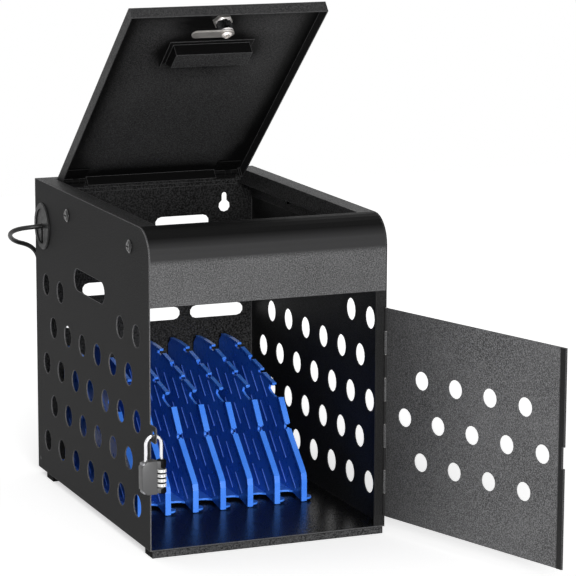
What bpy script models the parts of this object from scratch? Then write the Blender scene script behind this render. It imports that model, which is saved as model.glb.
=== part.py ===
"""A laptop charging cabinet: a perforated steel box with a lid, a door, a device rack and a power strip.

Metres, +Z up, front towards -Y. The origin is the middle of the front foot rail's underside.
The lid and the door stand open, and a combination padlock hangs on the hasp tab.
"""
import math

import bmesh
import bpy
from mathutils import Matrix, Vector

# Body, the driving sizes
BODY_WIDTH = 0.300
BODY_DEPTH = 0.432
BODY_HEIGHT = 0.380
SHEET = 0.0012
GAP = 0.0003
OVERRUN = 0.004
ROLL_RADIUS = 0.035
HOLE_SEGMENTS = 16
ROUND_SEGMENTS = 24
ARC_STEPS = 8

# Foot rails under the base
FOOT_HEIGHT = 0.0085
FOOT_DEPTH = 0.026
FOOT_END_INSET = 0.0025
FOOT_WALL = 0.0015
REAR_FOOT_SETBACK = 0.028

# Side panels: staggered round holes, a hand hole, a drain hole and the hasp tab
HOLE_DIAMETER = 0.0275
HOLE_PITCH = 0.0573
HOLE_ROW_PITCH = 0.0511
HOLE_COLUMNS = 7
HOLE_ROWS = 5
HOLE_REAR_MARGIN = 0.0425
HOLE_LOWEST_RISE = 0.0443
HANDLE_LENGTH = 0.117
HANDLE_HEIGHT = 0.0275
HANDLE_RISE = 0.2775
DRAIN_DIAMETER = 0.004
DRAIN_REAR = 0.0103
DRAIN_RISE = 0.0134
DRAIN_SEGMENTS = 8
TAB_LENGTH = 0.021
TAB_HEIGHT = 0.020
TAB_RISE = 0.1437
TAB_CORNER = 0.004
TAB_HOLE_DIAMETER = 0.0085
TAB_HOLE_OUT = 0.011
STILE_WIDTH = 0.014

# Header, top rails and the opening for the lid
HEADER_RISE = 0.2905
HEADER_RETURN = 0.009
HEADER_FLAT = 0.0025
OPENING_LIP = 0.020
SIDE_RAIL_WIDTH = 0.021
RAIL_SKIRT = 0.040
REAR_RAIL_WIDTH = 0.0135
REAR_LIP = 0.015
REAR_SKIRT = 0.022
RAIL_SHEET = 0.0010

# Rear panel: obround cable slots and keyholes
SLOT_LENGTH = 0.075
SLOT_HEIGHT = 0.017
UPPER_SLOT_RISE = 0.3105
MIDDLE_SLOT_RISE = 0.2298
LOWER_SLOT_RISE = 0.1895
WIDE_SLOT_CENTRE = 0.0505
LOWER_SLOT_PITCH = 0.089
LOWER_SLOT_SHIFT = 0.0095
KEYHOLE_SPACING = 0.2194
KEYHOLE_RISE = 0.3292
KEYHOLE_DIAMETER = 0.016
KEYHOLE_NECK = 0.007
KEYHOLE_NECK_RISE = 0.0145

# Shelf between the charging bay and the device bay
SHELF_RISE = 0.2935
SHELF_LIP = 0.010
PASS_LENGTH = 0.060
PASS_WIDTH = 0.022
PASS_SPACING = 0.090
PASS_REAR = 0.060

# Panel screws
SCREW_HEAD_DIAMETER = 0.0165
SCREW_HEAD_HEIGHT = 0.0026
SCREW_SHANK_DIAMETER = 0.006
SCREW_SHANK_LENGTH = 0.007
SCREW_DROP = 0.028
SCREW_FRONT = 0.0664
SCREW_REAR = 0.132
CROSS_LENGTH = 0.0085
CROSS_WIDTH = 0.0018
CROSS_DEPTH = 0.0014

# Cable grommet in the left panel
GROMMET_DIAMETER = 0.060
GROMMET_BORE = 0.050
GROMMET_REAR = 0.032
GROMMET_DROP = 0.0572
GROMMET_FLANGE = 0.0026
GROMMET_SLEEVE = 0.012
GROMMET_WALL = 0.0022
CAP_THICKNESS = 0.003
CAP_RECESS = 0.0012

# Lid, in its closed place: distances run forward from its hinge axis and up from it
LID_AXIS_REAR = 0.0188
LID_AXIS_DROP = 0.0041
LID_OPEN_DEGREES = 40.83
LID_SIDE_GAP = 0.0018
LID_FRONT_GAP = 0.0025
LID_REAR_SETOUT = 0.0034
LID_FLANGE = 0.0142
LID_HINGE_WIDTH = 0.031
LID_HINGE_INSET = 0.030
LID_KNUCKLE_RADIUS = 0.0032
LID_PIN_RADIUS = 0.0012
LID_LEAF = 0.0010
LID_LEAF_LENGTH = 0.024
LID_LEAF_DROP = 0.0085
KNUCKLE_SHARES = (0.46, 0.73)
PULL_LENGTH = 0.0985
PULL_FRONT_SETBACK = 0.076
PULL_MOUTH = 0.0414
PULL_FLOOR = 0.026
PULL_DEPTH = 0.018
PULL_RIM = 0.005

# Cam lock in the lid
LOCK_SETBACK = 0.028
LOCK_BARREL_DIAMETER = 0.019
LOCK_FLANGE_DIAMETER = 0.0235
LOCK_FLANGE_HEIGHT = 0.0018
LOCK_BARREL_LENGTH = 0.0200
LOCK_PLUG_DIAMETER = 0.0125
LOCK_NUT_ACROSS = 0.0245
LOCK_NUT_HEIGHT = 0.0045
CAM_LENGTH = 0.044
CAM_TAIL = 0.010
CAM_WIDTH = 0.0125
CAM_THICKNESS = 0.0022
CAM_SCREW_DIAMETER = 0.0125
CAM_SCREW_HEIGHT = 0.0030
KEYWAY_LENGTH = 0.008
KEYWAY_WIDTH = 0.0016
KEYWAY_DEPTH = 0.006

# Door, in its closed place, and its continuous hinge
DOOR_AXIS_INSET = 0.0018
DOOR_AXIS_FRONT = 0.0026
DOOR_OPEN_DEGREES = 108.13
DOOR_LENGTH = 0.298
DOOR_LOW = 0.0138
DOOR_HIGH = 0.270
DOOR_HEM = 0.0085
DOOR_HOLE_DIAMETER = 0.0225
DOOR_HOLE_PITCH = 0.057
DOOR_HOLE_ROW_PITCH = 0.0495
NOTCH_HEIGHT = 0.0250
NOTCH_DEPTH = 0.0028
DOOR_KNUCKLE_RADIUS = 0.0022
DOOR_PIN_RADIUS = 0.0011
DOOR_PIN_CLEARANCE = 0.0003
KNUCKLE_CLEARANCE = 0.0004
DOOR_KNUCKLES = 9
DOOR_LEAF = 0.0009
DOOR_LEAF_WIDTH = 0.0112

# Combination padlock on the hasp tab
PADLOCK_LEFT = 0.0165
PADLOCK_RIGHT = 0.0152
PADLOCK_CORNER = 0.0015
PADLOCK_HEIGHT = 0.040
PADLOCK_DEPTH = 0.013
PADLOCK_CHAMFER = 0.0065
SHACKLE_DIAMETER = 0.0042
SHACKLE_SPACING = 0.0192
SHACKLE_RISE = 0.0285
SHACKLE_ENTRY = 0.007
SHACKLE_LONG_ENTRY = 0.021
SHACKLE_CLEARANCE = 0.0004
DIAL_COUNT = 4
DIAL_RADIUS = 0.0058
DIAL_HEIGHT = 0.0048
DIAL_PITCH = 0.0057
DIAL_OFFSET = 0.0095
SPINDLE_RADIUS = 0.0013
DIAL_BEVEL = 0.0008
DIAL_FOOT = 0.0069

# Device rack
DIVIDER_COUNT = 7
DIVIDER_PITCH = 0.036
DIVIDER_WEB = 0.003
DIVIDER_BEAD = 0.0072
BEAD_DEPTH = 0.0042
BEAD_PROUD = 0.0008
FRONT_SHARES = ((0.0, 0.0), (0.0, 0.174), (0.007, 0.224), (0.0345, 0.274), (0.178, 0.508),
                (0.190, 0.548), (0.264, 0.727))
HOOK_SHARES = ((0.314, 0.707), (0.366, 0.726), (0.395, 0.748), (0.383, 0.782), (0.345, 0.788))
LOW_RUN_SHARES = ((0.338, 0.807), (0.400, 0.829), (0.460, 0.850))
LOW_NOTCH_SHARES = ((0.484, 0.832), (0.516, 0.838), (0.510, 0.863))
MIDDLE_RUN_SHARES = ((0.478, 0.872), (0.586, 0.910))
MIDDLE_NOTCH_SHARES = ((0.603, 0.892), (0.628, 0.902))
HIGH_RUN_SHARES = ((0.621, 0.926), (0.722, 0.963))
HIGH_NOTCH_SHARES = ((0.755, 0.936), (0.797, 0.944), (0.790, 0.972))
TOP_RUN_SHARES = ((0.755, 0.984), (0.859, 0.994), (0.961, 0.988))
REAR_SHARES = ((1.0, 0.922),)
CLIP_AFTER = 4
BEAD_INSET = 0.0005
TOP_BEAD = 0.0052
TOP_BEAD_DEPTH = 0.0028
TOE_BACK = 0.0088
RACK_FRONT = 0.136
RACK_LENGTH = 0.290
RACK_HEIGHT = 0.1605
RACK_BASE_THICKNESS = 0.0024
RACK_BASE_LIFT = 0.0034
RACK_BASE_SETBACK = 0.040
SCALLOP_DEPTH = 0.006
SCALLOP_SHARES = (0.0, 0.1, 0.22, 0.35, 0.5, 0.65, 0.78, 0.9, 1.0)
SKIRT = 0.003
RACK_BASE_MARGIN = 0.010
CLIP_MOUTH = 0.0042
CLIP_WIDTH = 0.0075
CLIP_LIP = 0.0022
TAB_FOOT_RADIUS = 0.0092
TAB_FOOT_THICKNESS = 0.0024
TAB_FOOT_LIFT = 0.0024

# Power strip on the shelf
STRIP_LENGTH = 0.222
STRIP_SHIFT = 0.030
STRIP_WIDTH = 0.052
STRIP_HEIGHT = 0.038
STRIP_CORNER = 0.005
STRIP_FRONT = 0.150
SOCKET_COUNT = 4
SOCKET_PITCH = 0.042
SOCKET_DEPTH = 0.012
SOCKET_SLOT_LENGTH = 0.0082
SOCKET_SLOT_WIDTH = 0.0042
SOCKET_SLOT_SPACING = 0.0127
SOCKET_EARTH_DIAMETER = 0.0056
SOCKET_EARTH_DROP = 0.0119
ROCKER_LENGTH = 0.020
ROCKER_WIDTH = 0.012
ROCKER_DEPTH = 0.009
ROCKER_TILT_DEGREES = 7.0
ROCKER_CLEARANCE = 0.0006
ROCKER_PROUD = 0.0012

# Mains cord
CORD_DIAMETER = 0.006
RELIEF_LENGTH = 0.026
RELIEF_DIAMETER = 0.0115
RELIEF_WALL = 0.0008
COIL_RADIUS = 0.0345
COIL_TURNS = 2
CORD_BEND = 0.027
CORD_TURN_STEPS = 5
CROSSING_SHARES = (0.15, 0.32, 0.5, 0.68, 0.85)
COIL_LAYERS = 2
COIL_STEPS = 24
COIL_GAP = 0.0007
COIL_X = 0.020
COIL_BEHIND = 0.075
CORD_STEP = 0.015
TIE_WIDTH = 0.010
TIE_THICKNESS = 0.0012
PLUG_LENGTH = 0.034
PLUG_WIDTH = 0.026
PLUG_DEPTH = 0.022
BLADE_LENGTH = 0.017
BLADE_WIDTH = 0.0063
BLADE_THICKNESS = 0.0015
BLADE_SPACING = 0.0127

# Places that follow from the sizes
LEFT = -BODY_WIDTH / 2
RIGHT = BODY_WIDTH / 2
FRONT = -FOOT_DEPTH / 2
REAR = FRONT + BODY_DEPTH
BASE = FOOT_HEIGHT
TOP = BASE + BODY_HEIGHT
INNER_LEFT = LEFT + SHEET + GAP
INNER_RIGHT = RIGHT - SHEET - GAP
INNER_REAR = REAR - SHEET - GAP
FLOOR = BASE + SHEET
LIP_REAR = FRONT + ROLL_RADIUS + HEADER_FLAT
RAIL_FRONT = LIP_REAR + GAP
REAR_RAIL_FRONT = REAR - SHEET - GAP - REAR_RAIL_WIDTH
OPENING_HALF = BODY_WIDTH / 2 - SHEET - GAP - SIDE_RAIL_WIDTH
LID_AXIS_Y = REAR - LID_AXIS_REAR
LID_AXIS_Z = TOP - LID_AXIS_DROP
LID_REACH = LID_AXIS_Y - LIP_REAR - LID_FRONT_GAP
LID_HALF = OPENING_HALF - LID_SIDE_GAP
DOOR_AXIS_X = RIGHT - DOOR_AXIS_INSET
DOOR_AXIS_Y = FRONT - DOOR_AXIS_FRONT
TAB_HOLE_Y = FRONT - TAB_HOLE_OUT
TAB_HOLE_Z = BASE + TAB_RISE
HANDLE_Y = REAR - HOLE_REAR_MARGIN - HOLE_PITCH * (HOLE_COLUMNS - 1) / 2
GROMMET_Y = REAR - GROMMET_REAR
GROMMET_Z = TOP - GROMMET_DROP
RACK_CENTRE_X = (LEFT + SHEET + RIGHT - STILE_WIDTH) / 2
RACK_FRONT_Y = FRONT + RACK_FRONT
SHELF_BOTTOM = BASE + SHELF_RISE - SHEET
LOCK_Y = LOCK_SETBACK - LID_REACH
CAM_TOP = LID_AXIS_DROP - LOCK_BARREL_LENGTH - 2 * GAP
HANG_DROP = (TAB_HOLE_DIAMETER - SHACKLE_DIAMETER) / 2 - GAP
DIAL_LOW = DIAL_FOOT - SHACKLE_RISE - PADLOCK_HEIGHT
STRIP_Y = FRONT + STRIP_FRONT + STRIP_WIDTH / 2
STRIP_BOTTOM = BASE + SHELF_RISE + GAP
STRIP_LEFT = STRIP_SHIFT - STRIP_LENGTH / 2
CORD_STRIP_Z = STRIP_BOTTOM + STRIP_HEIGHT / 2
COIL_Y = REAR + COIL_BEHIND
COIL_PITCH = CORD_DIAMETER + COIL_GAP
COIL_OUTER = COIL_RADIUS + COIL_PITCH * COIL_TURNS / 2
COIL_Z = CORD_DIAMETER / 2 + TIE_THICKNESS + 2 * GAP

PAINTED = ((0.030, 0.030, 0.031, 1.0), 0.55, 0.0)
SATIN_BLACK = ((0.012, 0.012, 0.013, 1.0), 0.4, 0.0)
BRIGHT_STEEL = ((0.62, 0.62, 0.64, 1.0), 0.25, 1.0)
GREY_METAL = ((0.16, 0.16, 0.17, 1.0), 0.35, 1.0)
WHITE_PLASTIC = ((0.85, 0.85, 0.85, 1.0), 0.4, 0.0)
BLUE_PLASTIC = ((0.012, 0.09, 0.62, 1.0), 0.35, 0.0)
BRASS = ((0.60, 0.43, 0.16, 1.0), 0.3, 1.0)


def clear_scene():
    for item in list(bpy.data.objects):
        bpy.data.objects.remove(item, do_unlink=True)


def new_collection(name):
    group = bpy.data.collections.new(name)
    bpy.context.scene.collection.children.link(group)
    return group


def material(name, colour, roughness, metallic):
    paint = bpy.data.materials.new(name)
    paint.use_nodes = True
    shader = paint.node_tree.nodes["Principled BSDF"]
    shader.inputs["Base Color"].default_value = colour
    shader.inputs["Roughness"].default_value = roughness
    shader.inputs["Metallic"].default_value = metallic
    return paint


def place(item, group):
    for other in list(item.users_collection):
        other.objects.unlink(item)
    group.objects.link(item)


def tidy_mesh(mesh):
    """Weld the loose caps and turn every face outward."""
    work = bmesh.new()
    work.from_mesh(mesh)
    bmesh.ops.remove_doubles(work, verts=work.verts, dist=GAP / 100)
    bmesh.ops.recalc_face_normals(work, faces=work.faces)
    work.to_mesh(mesh)
    work.free()


def baked(item, name):
    """A mesh object with the evaluated shape of another, which is removed."""
    bpy.context.view_layer.update()
    graph = bpy.context.evaluated_depsgraph_get()
    mesh = bpy.data.meshes.new_from_object(item.evaluated_get(graph))
    mesh.transform(item.matrix_world)
    tidy_mesh(mesh)
    bpy.data.objects.remove(item, do_unlink=True)
    mesh.name = name
    return add_mesh(mesh, name)


def add_mesh(mesh, name):
    item = bpy.data.objects.new(name, mesh)
    bpy.context.scene.collection.objects.link(item)
    return item


def box(name, low, high):
    bpy.ops.mesh.primitive_cube_add(size=1)
    item = bpy.context.object
    item.name = name
    middle = [(a + b) / 2 for a, b in zip(low, high)]
    size = [b - a for a, b in zip(low, high)]
    item.data.transform(Matrix.Translation(middle) @ Matrix.Diagonal((*size, 1)))
    return item


def cylinder(name, radius, start, end, segments=ROUND_SEGMENTS, end_radius=None):
    """A cylinder or cone between two points."""
    start, end = Vector(start), Vector(end)
    work = bmesh.new()
    bmesh.ops.create_cone(work, cap_ends=True, segments=segments, radius1=radius,
                          radius2=radius if end_radius is None else end_radius,
                          depth=(end - start).length)
    turn = (end - start).to_track_quat("Z", "Y").to_matrix().to_4x4()
    bmesh.ops.transform(work, matrix=Matrix.Translation((start + end) / 2) @ turn, verts=work.verts)
    mesh = bpy.data.meshes.new(name)
    work.to_mesh(mesh)
    work.free()
    return add_mesh(mesh, name)


PLANES = {
    "YZ": Matrix(((0, 0, 1, 0), (1, 0, 0, 0), (0, 1, 0, 0), (0, 0, 0, 1))),
    "XZ": Matrix(((1, 0, 0, 0), (0, 0, -1, 0), (0, 1, 0, 0), (0, 0, 0, 1))),
    "XY": Matrix.Identity(4),
}


def plate(name, outlines, plane, low, high):
    """A flat piece from an outline and its holes, between two heights across its plane."""
    curve = bpy.data.curves.new(name, "CURVE")
    curve.dimensions = "2D"
    curve.fill_mode = "BOTH"
    curve.extrude = (high - low) / 2
    for outline in outlines:
        spline = curve.splines.new("POLY")
        spline.points.add(len(outline) - 1)
        for point, (across, up) in zip(spline.points, outline):
            point.co = (across, up, 0, 1)
        spline.use_cyclic_u = True
    item = bpy.data.objects.new(name, curve)
    bpy.context.scene.collection.objects.link(item)
    side = -1 if plane == "XZ" else 1
    item.matrix_world = PLANES[plane] @ Matrix.Translation((0, 0, side * (low + high) / 2))
    return baked(item, name)


def turned(name, profile, segments=ROUND_SEGMENTS, closed=False):
    """A turned piece about Z; its profile of (radius, height) runs down its outer side."""
    mesh = bpy.data.meshes.new(name)
    edges = [(i, i + 1) for i in range(len(profile) - 1)]
    if closed:
        edges.append((len(profile) - 1, 0))
    mesh.from_pydata([(radius, 0, height) for radius, height in profile], edges, [])
    item = add_mesh(mesh, name)
    screw = item.modifiers.new("turn", "SCREW")
    screw.steps = screw.render_steps = segments
    screw.use_merge_vertices = True
    screw.merge_threshold = GAP / 100
    return baked(item, name)


def tube(name, points, radius, resolution=2):
    """A round bar or cord along a list of points, with filled ends."""
    curve = bpy.data.curves.new(name, "CURVE")
    curve.dimensions = "3D"
    curve.bevel_depth = radius
    curve.bevel_resolution = resolution
    curve.use_fill_caps = True
    spline = curve.splines.new("POLY")
    spline.points.add(len(points) - 1)
    for point, co in zip(spline.points, points):
        point.co = (*co, 1)
    item = bpy.data.objects.new(name, curve)
    bpy.context.scene.collection.objects.link(item)
    return baked(item, name)


def combine(item, other, operation):
    """Cut, join or keep the common part of two solids with an exact Boolean, then drop the tool."""
    step = item.modifiers.new(operation.lower(), "BOOLEAN")
    step.operation = operation
    step.solver = "EXACT"
    step.object = other
    name = item.name
    result = baked(item, name)
    bpy.data.objects.remove(other, do_unlink=True)
    return result


def merged(name, items):
    """Several separate solids in one object."""
    work = bmesh.new()
    for item in items:
        work.from_mesh(item.data)
        bpy.data.objects.remove(item, do_unlink=True)
    mesh = bpy.data.meshes.new(name)
    work.to_mesh(mesh)
    work.free()
    return add_mesh(mesh, name)


def moved(item, matrix):
    item.data.transform(matrix)
    return item


def finish(item, paint, group, parent=None):
    """Paint the piece, put it in the cabinet's collection and hang it on its axis."""
    item.data.name = item.name
    item.data.materials.clear()
    item.data.materials.append(material(item.name + "_finish", *paint))
    place(item, group)
    item.parent = parent
    item.data.shade_smooth()
    item.data.set_sharp_from_angle(angle=math.radians(35))


def axis_empty(name, location, group, parent=None, turn=(0, 0, 0)):
    """An empty on a joint's axis, which carries the pieces that move there."""
    empty = bpy.data.objects.new(name, None)
    empty.location = location
    empty.rotation_euler = [math.radians(angle) for angle in turn]
    group.objects.link(empty)
    empty.parent = parent
    return empty


def rectangle(left, right, low, high):
    return [(left, low), (right, low), (right, high), (left, high)]


def arc(centre, radius, start, stop, steps=ARC_STEPS):
    """Points on a circle between two angles in degrees, both ends included."""
    angles = [math.radians(start + (stop - start) * i / steps) for i in range(steps + 1)]
    return [(centre[0] + radius * math.cos(a), centre[1] + radius * math.sin(a)) for a in angles]


def circle(centre, diameter, segments=HOLE_SEGMENTS):
    return arc(centre, diameter / 2, 0, 360 * (segments - 1) / segments, segments - 1)


def obround(centre, length, height, steps=ARC_STEPS):
    reach = (length - height) / 2
    right = arc((centre[0] + reach, centre[1]), height / 2, -90, 90, steps)
    left = arc((centre[0] - reach, centre[1]), height / 2, 90, 270, steps)
    return right + left


def rounded(left, right, low, high, radius, steps=4):
    corners = (((right - radius, high - radius), 0), ((left + radius, high - radius), 90),
               ((left + radius, low + radius), 180), ((right - radius, low + radius), 270))
    return [point for centre, start in corners for point in arc(centre, radius, start, start + 90, steps)]


def thickened(path, thickness):
    """The closed outline of a folded sheet: a path and its copy offset to the left of its run."""
    points = [Vector(point) for point in path]
    offset = []
    for i, point in enumerate(points):
        before = (point - points[i - 1]).normalized() if i else None
        after = (points[i + 1] - point).normalized() if i + 1 < len(points) else None
        before = before or after
        after = after or before
        sides = [Vector((-run.y, run.x)) for run in (before, after)]
        mitre = (sides[0] + sides[1]).normalized()
        offset.append(point + mitre * (thickness / mitre.dot(sides[0])))
    return [tuple(point) for point in points] + [tuple(point) for point in reversed(offset)]


def hole_centres():
    """The staggered holes of a side panel, less those that the hand hole replaces."""
    centres = []
    for row in range(HOLE_ROWS):
        shifted = row % 2
        height = BASE + HOLE_LOWEST_RISE + row * HOLE_ROW_PITCH
        near = BASE + HANDLE_RISE - height < (HANDLE_HEIGHT + HOLE_DIAMETER) / 2 + OVERRUN
        for column in range(HOLE_COLUMNS - shifted):
            depth = REAR - HOLE_REAR_MARGIN - (column + shifted / 2) * HOLE_PITCH
            if not (near and abs(depth - HANDLE_Y) < HANDLE_LENGTH / 2):
                centres.append((depth, height))
    return centres


def screw_places():
    return [(FRONT + SCREW_FRONT, TOP - SCREW_DROP), (REAR - SCREW_REAR, TOP - SCREW_DROP)]


def side_sheet(name, left, right, tab_points):
    """A side panel without its holes: square corners but for the rolled one at the front."""
    corner = (FRONT + ROLL_RADIUS, TOP - ROLL_RADIUS)
    edge = [(REAR, BASE), (FRONT, BASE)] + tab_points + arc(corner, ROLL_RADIUS, 180, 90) + [(REAR, TOP)]
    return plate(name, [edge], "YZ", left, right)


def perforated(panel, left, right, extra_holes):
    """The panel with its round holes, hand hole, screw holes and drain hole."""
    outlines = [obround((HANDLE_Y, BASE + HANDLE_RISE), HANDLE_LENGTH, HANDLE_HEIGHT)]
    outlines += [circle(centre, HOLE_DIAMETER) for centre in hole_centres()]
    outlines += [circle(centre, SCREW_SHANK_DIAMETER + 2 * GAP, DRAIN_SEGMENTS) for centre in screw_places()]
    outlines.append(circle((REAR - DRAIN_REAR, BASE + DRAIN_RISE), DRAIN_DIAMETER, DRAIN_SEGMENTS))
    holes = plate("holes", outlines + extra_holes, "YZ", left - OVERRUN, right + OVERRUN)
    return combine(panel, holes, "DIFFERENCE")


def left_side_panel():
    tip = FRONT - TAB_LENGTH + TAB_CORNER
    low = TAB_HOLE_Z - TAB_HEIGHT / 2
    high = low + TAB_HEIGHT
    tab = [(FRONT, low)] + arc((tip, low + TAB_CORNER), TAB_CORNER, 270, 180, 3)
    tab += arc((tip, high - TAB_CORNER), TAB_CORNER, 180, 90, 3) + [(FRONT, high)]
    holes = [circle((TAB_HOLE_Y, TAB_HOLE_Z), TAB_HOLE_DIAMETER, HOLE_SEGMENTS),
             circle((GROMMET_Y, GROMMET_Z), GROMMET_BORE, ROUND_SEGMENTS)]
    panel = side_sheet("left_side_panel", LEFT, LEFT + SHEET, tab)
    return perforated(panel, LEFT, LEFT + SHEET, holes)


def right_side_panel():
    """The right panel, folded in at the front to make the stile that the door hangs on."""
    panel = side_sheet("right_side_panel", RIGHT - SHEET, RIGHT, [])
    stile = box("stile", (RIGHT - STILE_WIDTH, FRONT, FLOOR + GAP),
                (RIGHT - SHEET / 2, FRONT + SHEET, BASE + HEADER_RISE - GAP))
    return perforated(combine(panel, stile, "UNION"), RIGHT - SHEET, RIGHT, [])


def keyhole(centre):
    """A round head with a neck that runs up."""
    half = math.degrees(math.asin(KEYHOLE_NECK / KEYHOLE_DIAMETER))
    head = arc(centre, KEYHOLE_DIAMETER / 2, 90 - half, half - 270, ARC_STEPS)
    return head + arc((centre[0], centre[1] + KEYHOLE_NECK_RISE), KEYHOLE_NECK / 2, 180, 0, 4)


def rear_panel():
    outlines = [rectangle(INNER_LEFT, INNER_RIGHT, BASE, TOP)]
    for side in (-1, 1):
        for rise in (UPPER_SLOT_RISE, MIDDLE_SLOT_RISE):
            outlines.append(obround((side * WIDE_SLOT_CENTRE, BASE + rise), SLOT_LENGTH, SLOT_HEIGHT, 5))
        outlines.append(keyhole((side * KEYHOLE_SPACING / 2, BASE + KEYHOLE_RISE)))
    for step in (-1, 0, 1):
        centre = (LOWER_SLOT_SHIFT + step * LOWER_SLOT_PITCH, BASE + LOWER_SLOT_RISE)
        outlines.append(obround(centre, SLOT_LENGTH, SLOT_HEIGHT, 5))
    return plate("rear_panel", outlines, "XZ", REAR - SHEET, REAR)


def base_panel():
    return box("base_panel", (INNER_LEFT, FRONT, BASE), (INNER_RIGHT, INNER_REAR, FLOOR))


def foot_rail(name, front):
    """A shallow tray under the base, open at the top where the base covers it."""
    low = (LEFT + FOOT_END_INSET, front, 0)
    high = (RIGHT - FOOT_END_INSET, front + FOOT_DEPTH, BASE - GAP)
    rail = box(name, low, high)
    hollow = box("hollow", [value + FOOT_WALL for value in low],
                 (high[0] - FOOT_WALL, high[1] - FOOT_WALL, high[2] + OVERRUN))
    return combine(rail, hollow, "DIFFERENCE")


def front_header():
    """The front fascia: a return at the bottom, a rolled top and a lip into the lid's opening."""
    corner = (FRONT + ROLL_RADIUS, TOP - ROLL_RADIUS)
    low = BASE + HEADER_RISE
    path = [(LIP_REAR, TOP - OPENING_LIP), (LIP_REAR, TOP)] + arc(corner, ROLL_RADIUS, 90, 180)
    path += [(FRONT, low), (FRONT + HEADER_RETURN, low)]
    return plate("front_header", [thickened(path, SHEET)], "YZ", INNER_LEFT, INNER_RIGHT)


def side_rail(name, side):
    """A folded rail beside the lid: skirt inside the panel, flat top, lip into the opening."""
    edge = side * OPENING_HALF
    outer = side * (BODY_WIDTH / 2 - SHEET - GAP)
    path = [(edge, TOP - OPENING_LIP), (edge, TOP), (outer, TOP), (outer, TOP - RAIL_SKIRT)]
    rail = plate(name, [thickened(path, -side * RAIL_SHEET)], "XZ", RAIL_FRONT, INNER_REAR)
    for depth, height in screw_places():
        bore = cylinder("bore", SCREW_SHANK_DIAMETER / 2 + GAP, (outer - OVERRUN, depth, height),
                        (outer + OVERRUN, depth, height), DRAIN_SEGMENTS)
        rail = combine(rail, bore, "DIFFERENCE")
    if side < 0:
        recess = cylinder("recess", GROMMET_BORE / 2, (outer - OVERRUN, GROMMET_Y, GROMMET_Z),
                          (outer + GROMMET_SLEEVE, GROMMET_Y, GROMMET_Z))
        rail = combine(rail, recess, "DIFFERENCE")
    return rail


def rear_rail():
    path = [(REAR_RAIL_FRONT, TOP - REAR_LIP), (REAR_RAIL_FRONT, TOP), (INNER_REAR, TOP),
            (INNER_REAR, TOP - REAR_SKIRT)]
    reach = OPENING_HALF - GAP
    return plate("rear_top_rail", [thickened(path, -RAIL_SHEET)], "YZ", -reach, reach)


def shelf_panel():
    """The partition that carries the power strip, with pass-through slots for device cords."""
    front = FRONT + SHEET + GAP
    path = [(front, SHELF_BOTTOM + SHELF_LIP), (front, SHELF_BOTTOM), (INNER_REAR, SHELF_BOTTOM),
            (INNER_REAR, SHELF_BOTTOM + SHELF_LIP)]
    shelf = plate("shelf_panel", [thickened(path, SHEET)], "YZ", INNER_LEFT, INNER_RIGHT)
    for step in (-1, 0, 1):
        hole = plate("pass", [obround((step * PASS_SPACING, REAR - PASS_REAR), PASS_LENGTH, PASS_WIDTH, 5)],
                     "XY", SHELF_BOTTOM - OVERRUN, SHELF_BOTTOM + OVERRUN)
        shelf = combine(shelf, hole, "DIFFERENCE")
    return shelf


def cross_screw(radius, height, shank, length):
    """A pan-head screw about Z, its head standing on z = 0, with a cross recess."""
    edge_share, crown_share = 0.25, 0.62
    profile = [(0, height), (radius * crown_share, height), (radius, height * edge_share), (radius, 0)]
    profile += [(shank, 0), (shank, -length), (0, -length)]
    screw = turned("screw", profile, HOLE_SEGMENTS)
    for half in ((CROSS_LENGTH / 2, CROSS_WIDTH / 2), (CROSS_WIDTH / 2, CROSS_LENGTH / 2)):
        bar = box("bar", (-half[0], -half[1], height - CROSS_DEPTH), (half[0], half[1], height + OVERRUN))
        screw = combine(screw, bar, "DIFFERENCE")
    return screw


def panel_screw(name, side, seat):
    """A screw through one side panel into the rail's skirt."""
    screw = cross_screw(SCREW_HEAD_DIAMETER / 2, SCREW_HEAD_HEIGHT, SCREW_SHANK_DIAMETER / 2,
                        SCREW_SHANK_LENGTH)
    screw.name = name
    turn = Matrix.Rotation(side * math.pi / 2, 4, "Y")
    return moved(screw, Matrix.Translation((side * (BODY_WIDTH / 2 + GAP), *seat)) @ turn)


def grommet_frame():
    """The grommet's own frame: its axis points out of the left panel."""
    return Matrix.Translation((LEFT, GROMMET_Y, GROMMET_Z)) @ Matrix.Rotation(-math.pi / 2, 4, "Y")


def grommet_ring():
    outer = GROMMET_DIAMETER / 2
    sleeve = GROMMET_BORE / 2 - GAP
    inner = sleeve - GROMMET_WALL
    half = GROMMET_FLANGE / 2
    profile = [(inner, GROMMET_FLANGE), (outer - half, GROMMET_FLANGE), (outer, half), (outer, GAP),
               (sleeve, GAP), (sleeve, -GROMMET_SLEEVE), (inner, -GROMMET_SLEEVE)]
    return moved(turned("grommet_ring", profile, ROUND_SEGMENTS, closed=True), grommet_frame())


def grommet_cap():
    """A disc in the ring, slotted from its edge to the middle for the cord."""
    radius = GROMMET_BORE / 2 - GROMMET_WALL - 2 * GAP
    slot = CORD_DIAMETER / 2 + GAP * 2
    half = math.degrees(math.asin(slot / radius))
    outline = arc((0, 0), radius, 180 + half, 540 - half, ROUND_SEGMENTS)
    outline += arc((0, 0), slot, 90, -90, ARC_STEPS)
    top = GROMMET_FLANGE - CAP_RECESS
    cap = plate("grommet_cap", [outline], "XY", top - CAP_THICKNESS, top)
    return moved(cap, grommet_frame())


def hinge_spans():
    """The left and right ends of the two lid hinges."""
    outer = BODY_WIDTH / 2 - LID_HINGE_INSET
    return [(-outer, -outer + LID_HINGE_WIDTH), (outer - LID_HINGE_WIDTH, outer)]


def knuckle(start, end, bore, outer, segments=12):
    """A tube along X between two places on the axis."""
    ring = turned("knuckle", [(bore, end - start), (outer, end - start), (outer, 0), (bore, 0)],
                  segments, closed=True)
    return moved(ring, Matrix.Translation((start, 0, 0)) @ Matrix.Rotation(math.pi / 2, 4, "Y"))


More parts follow.
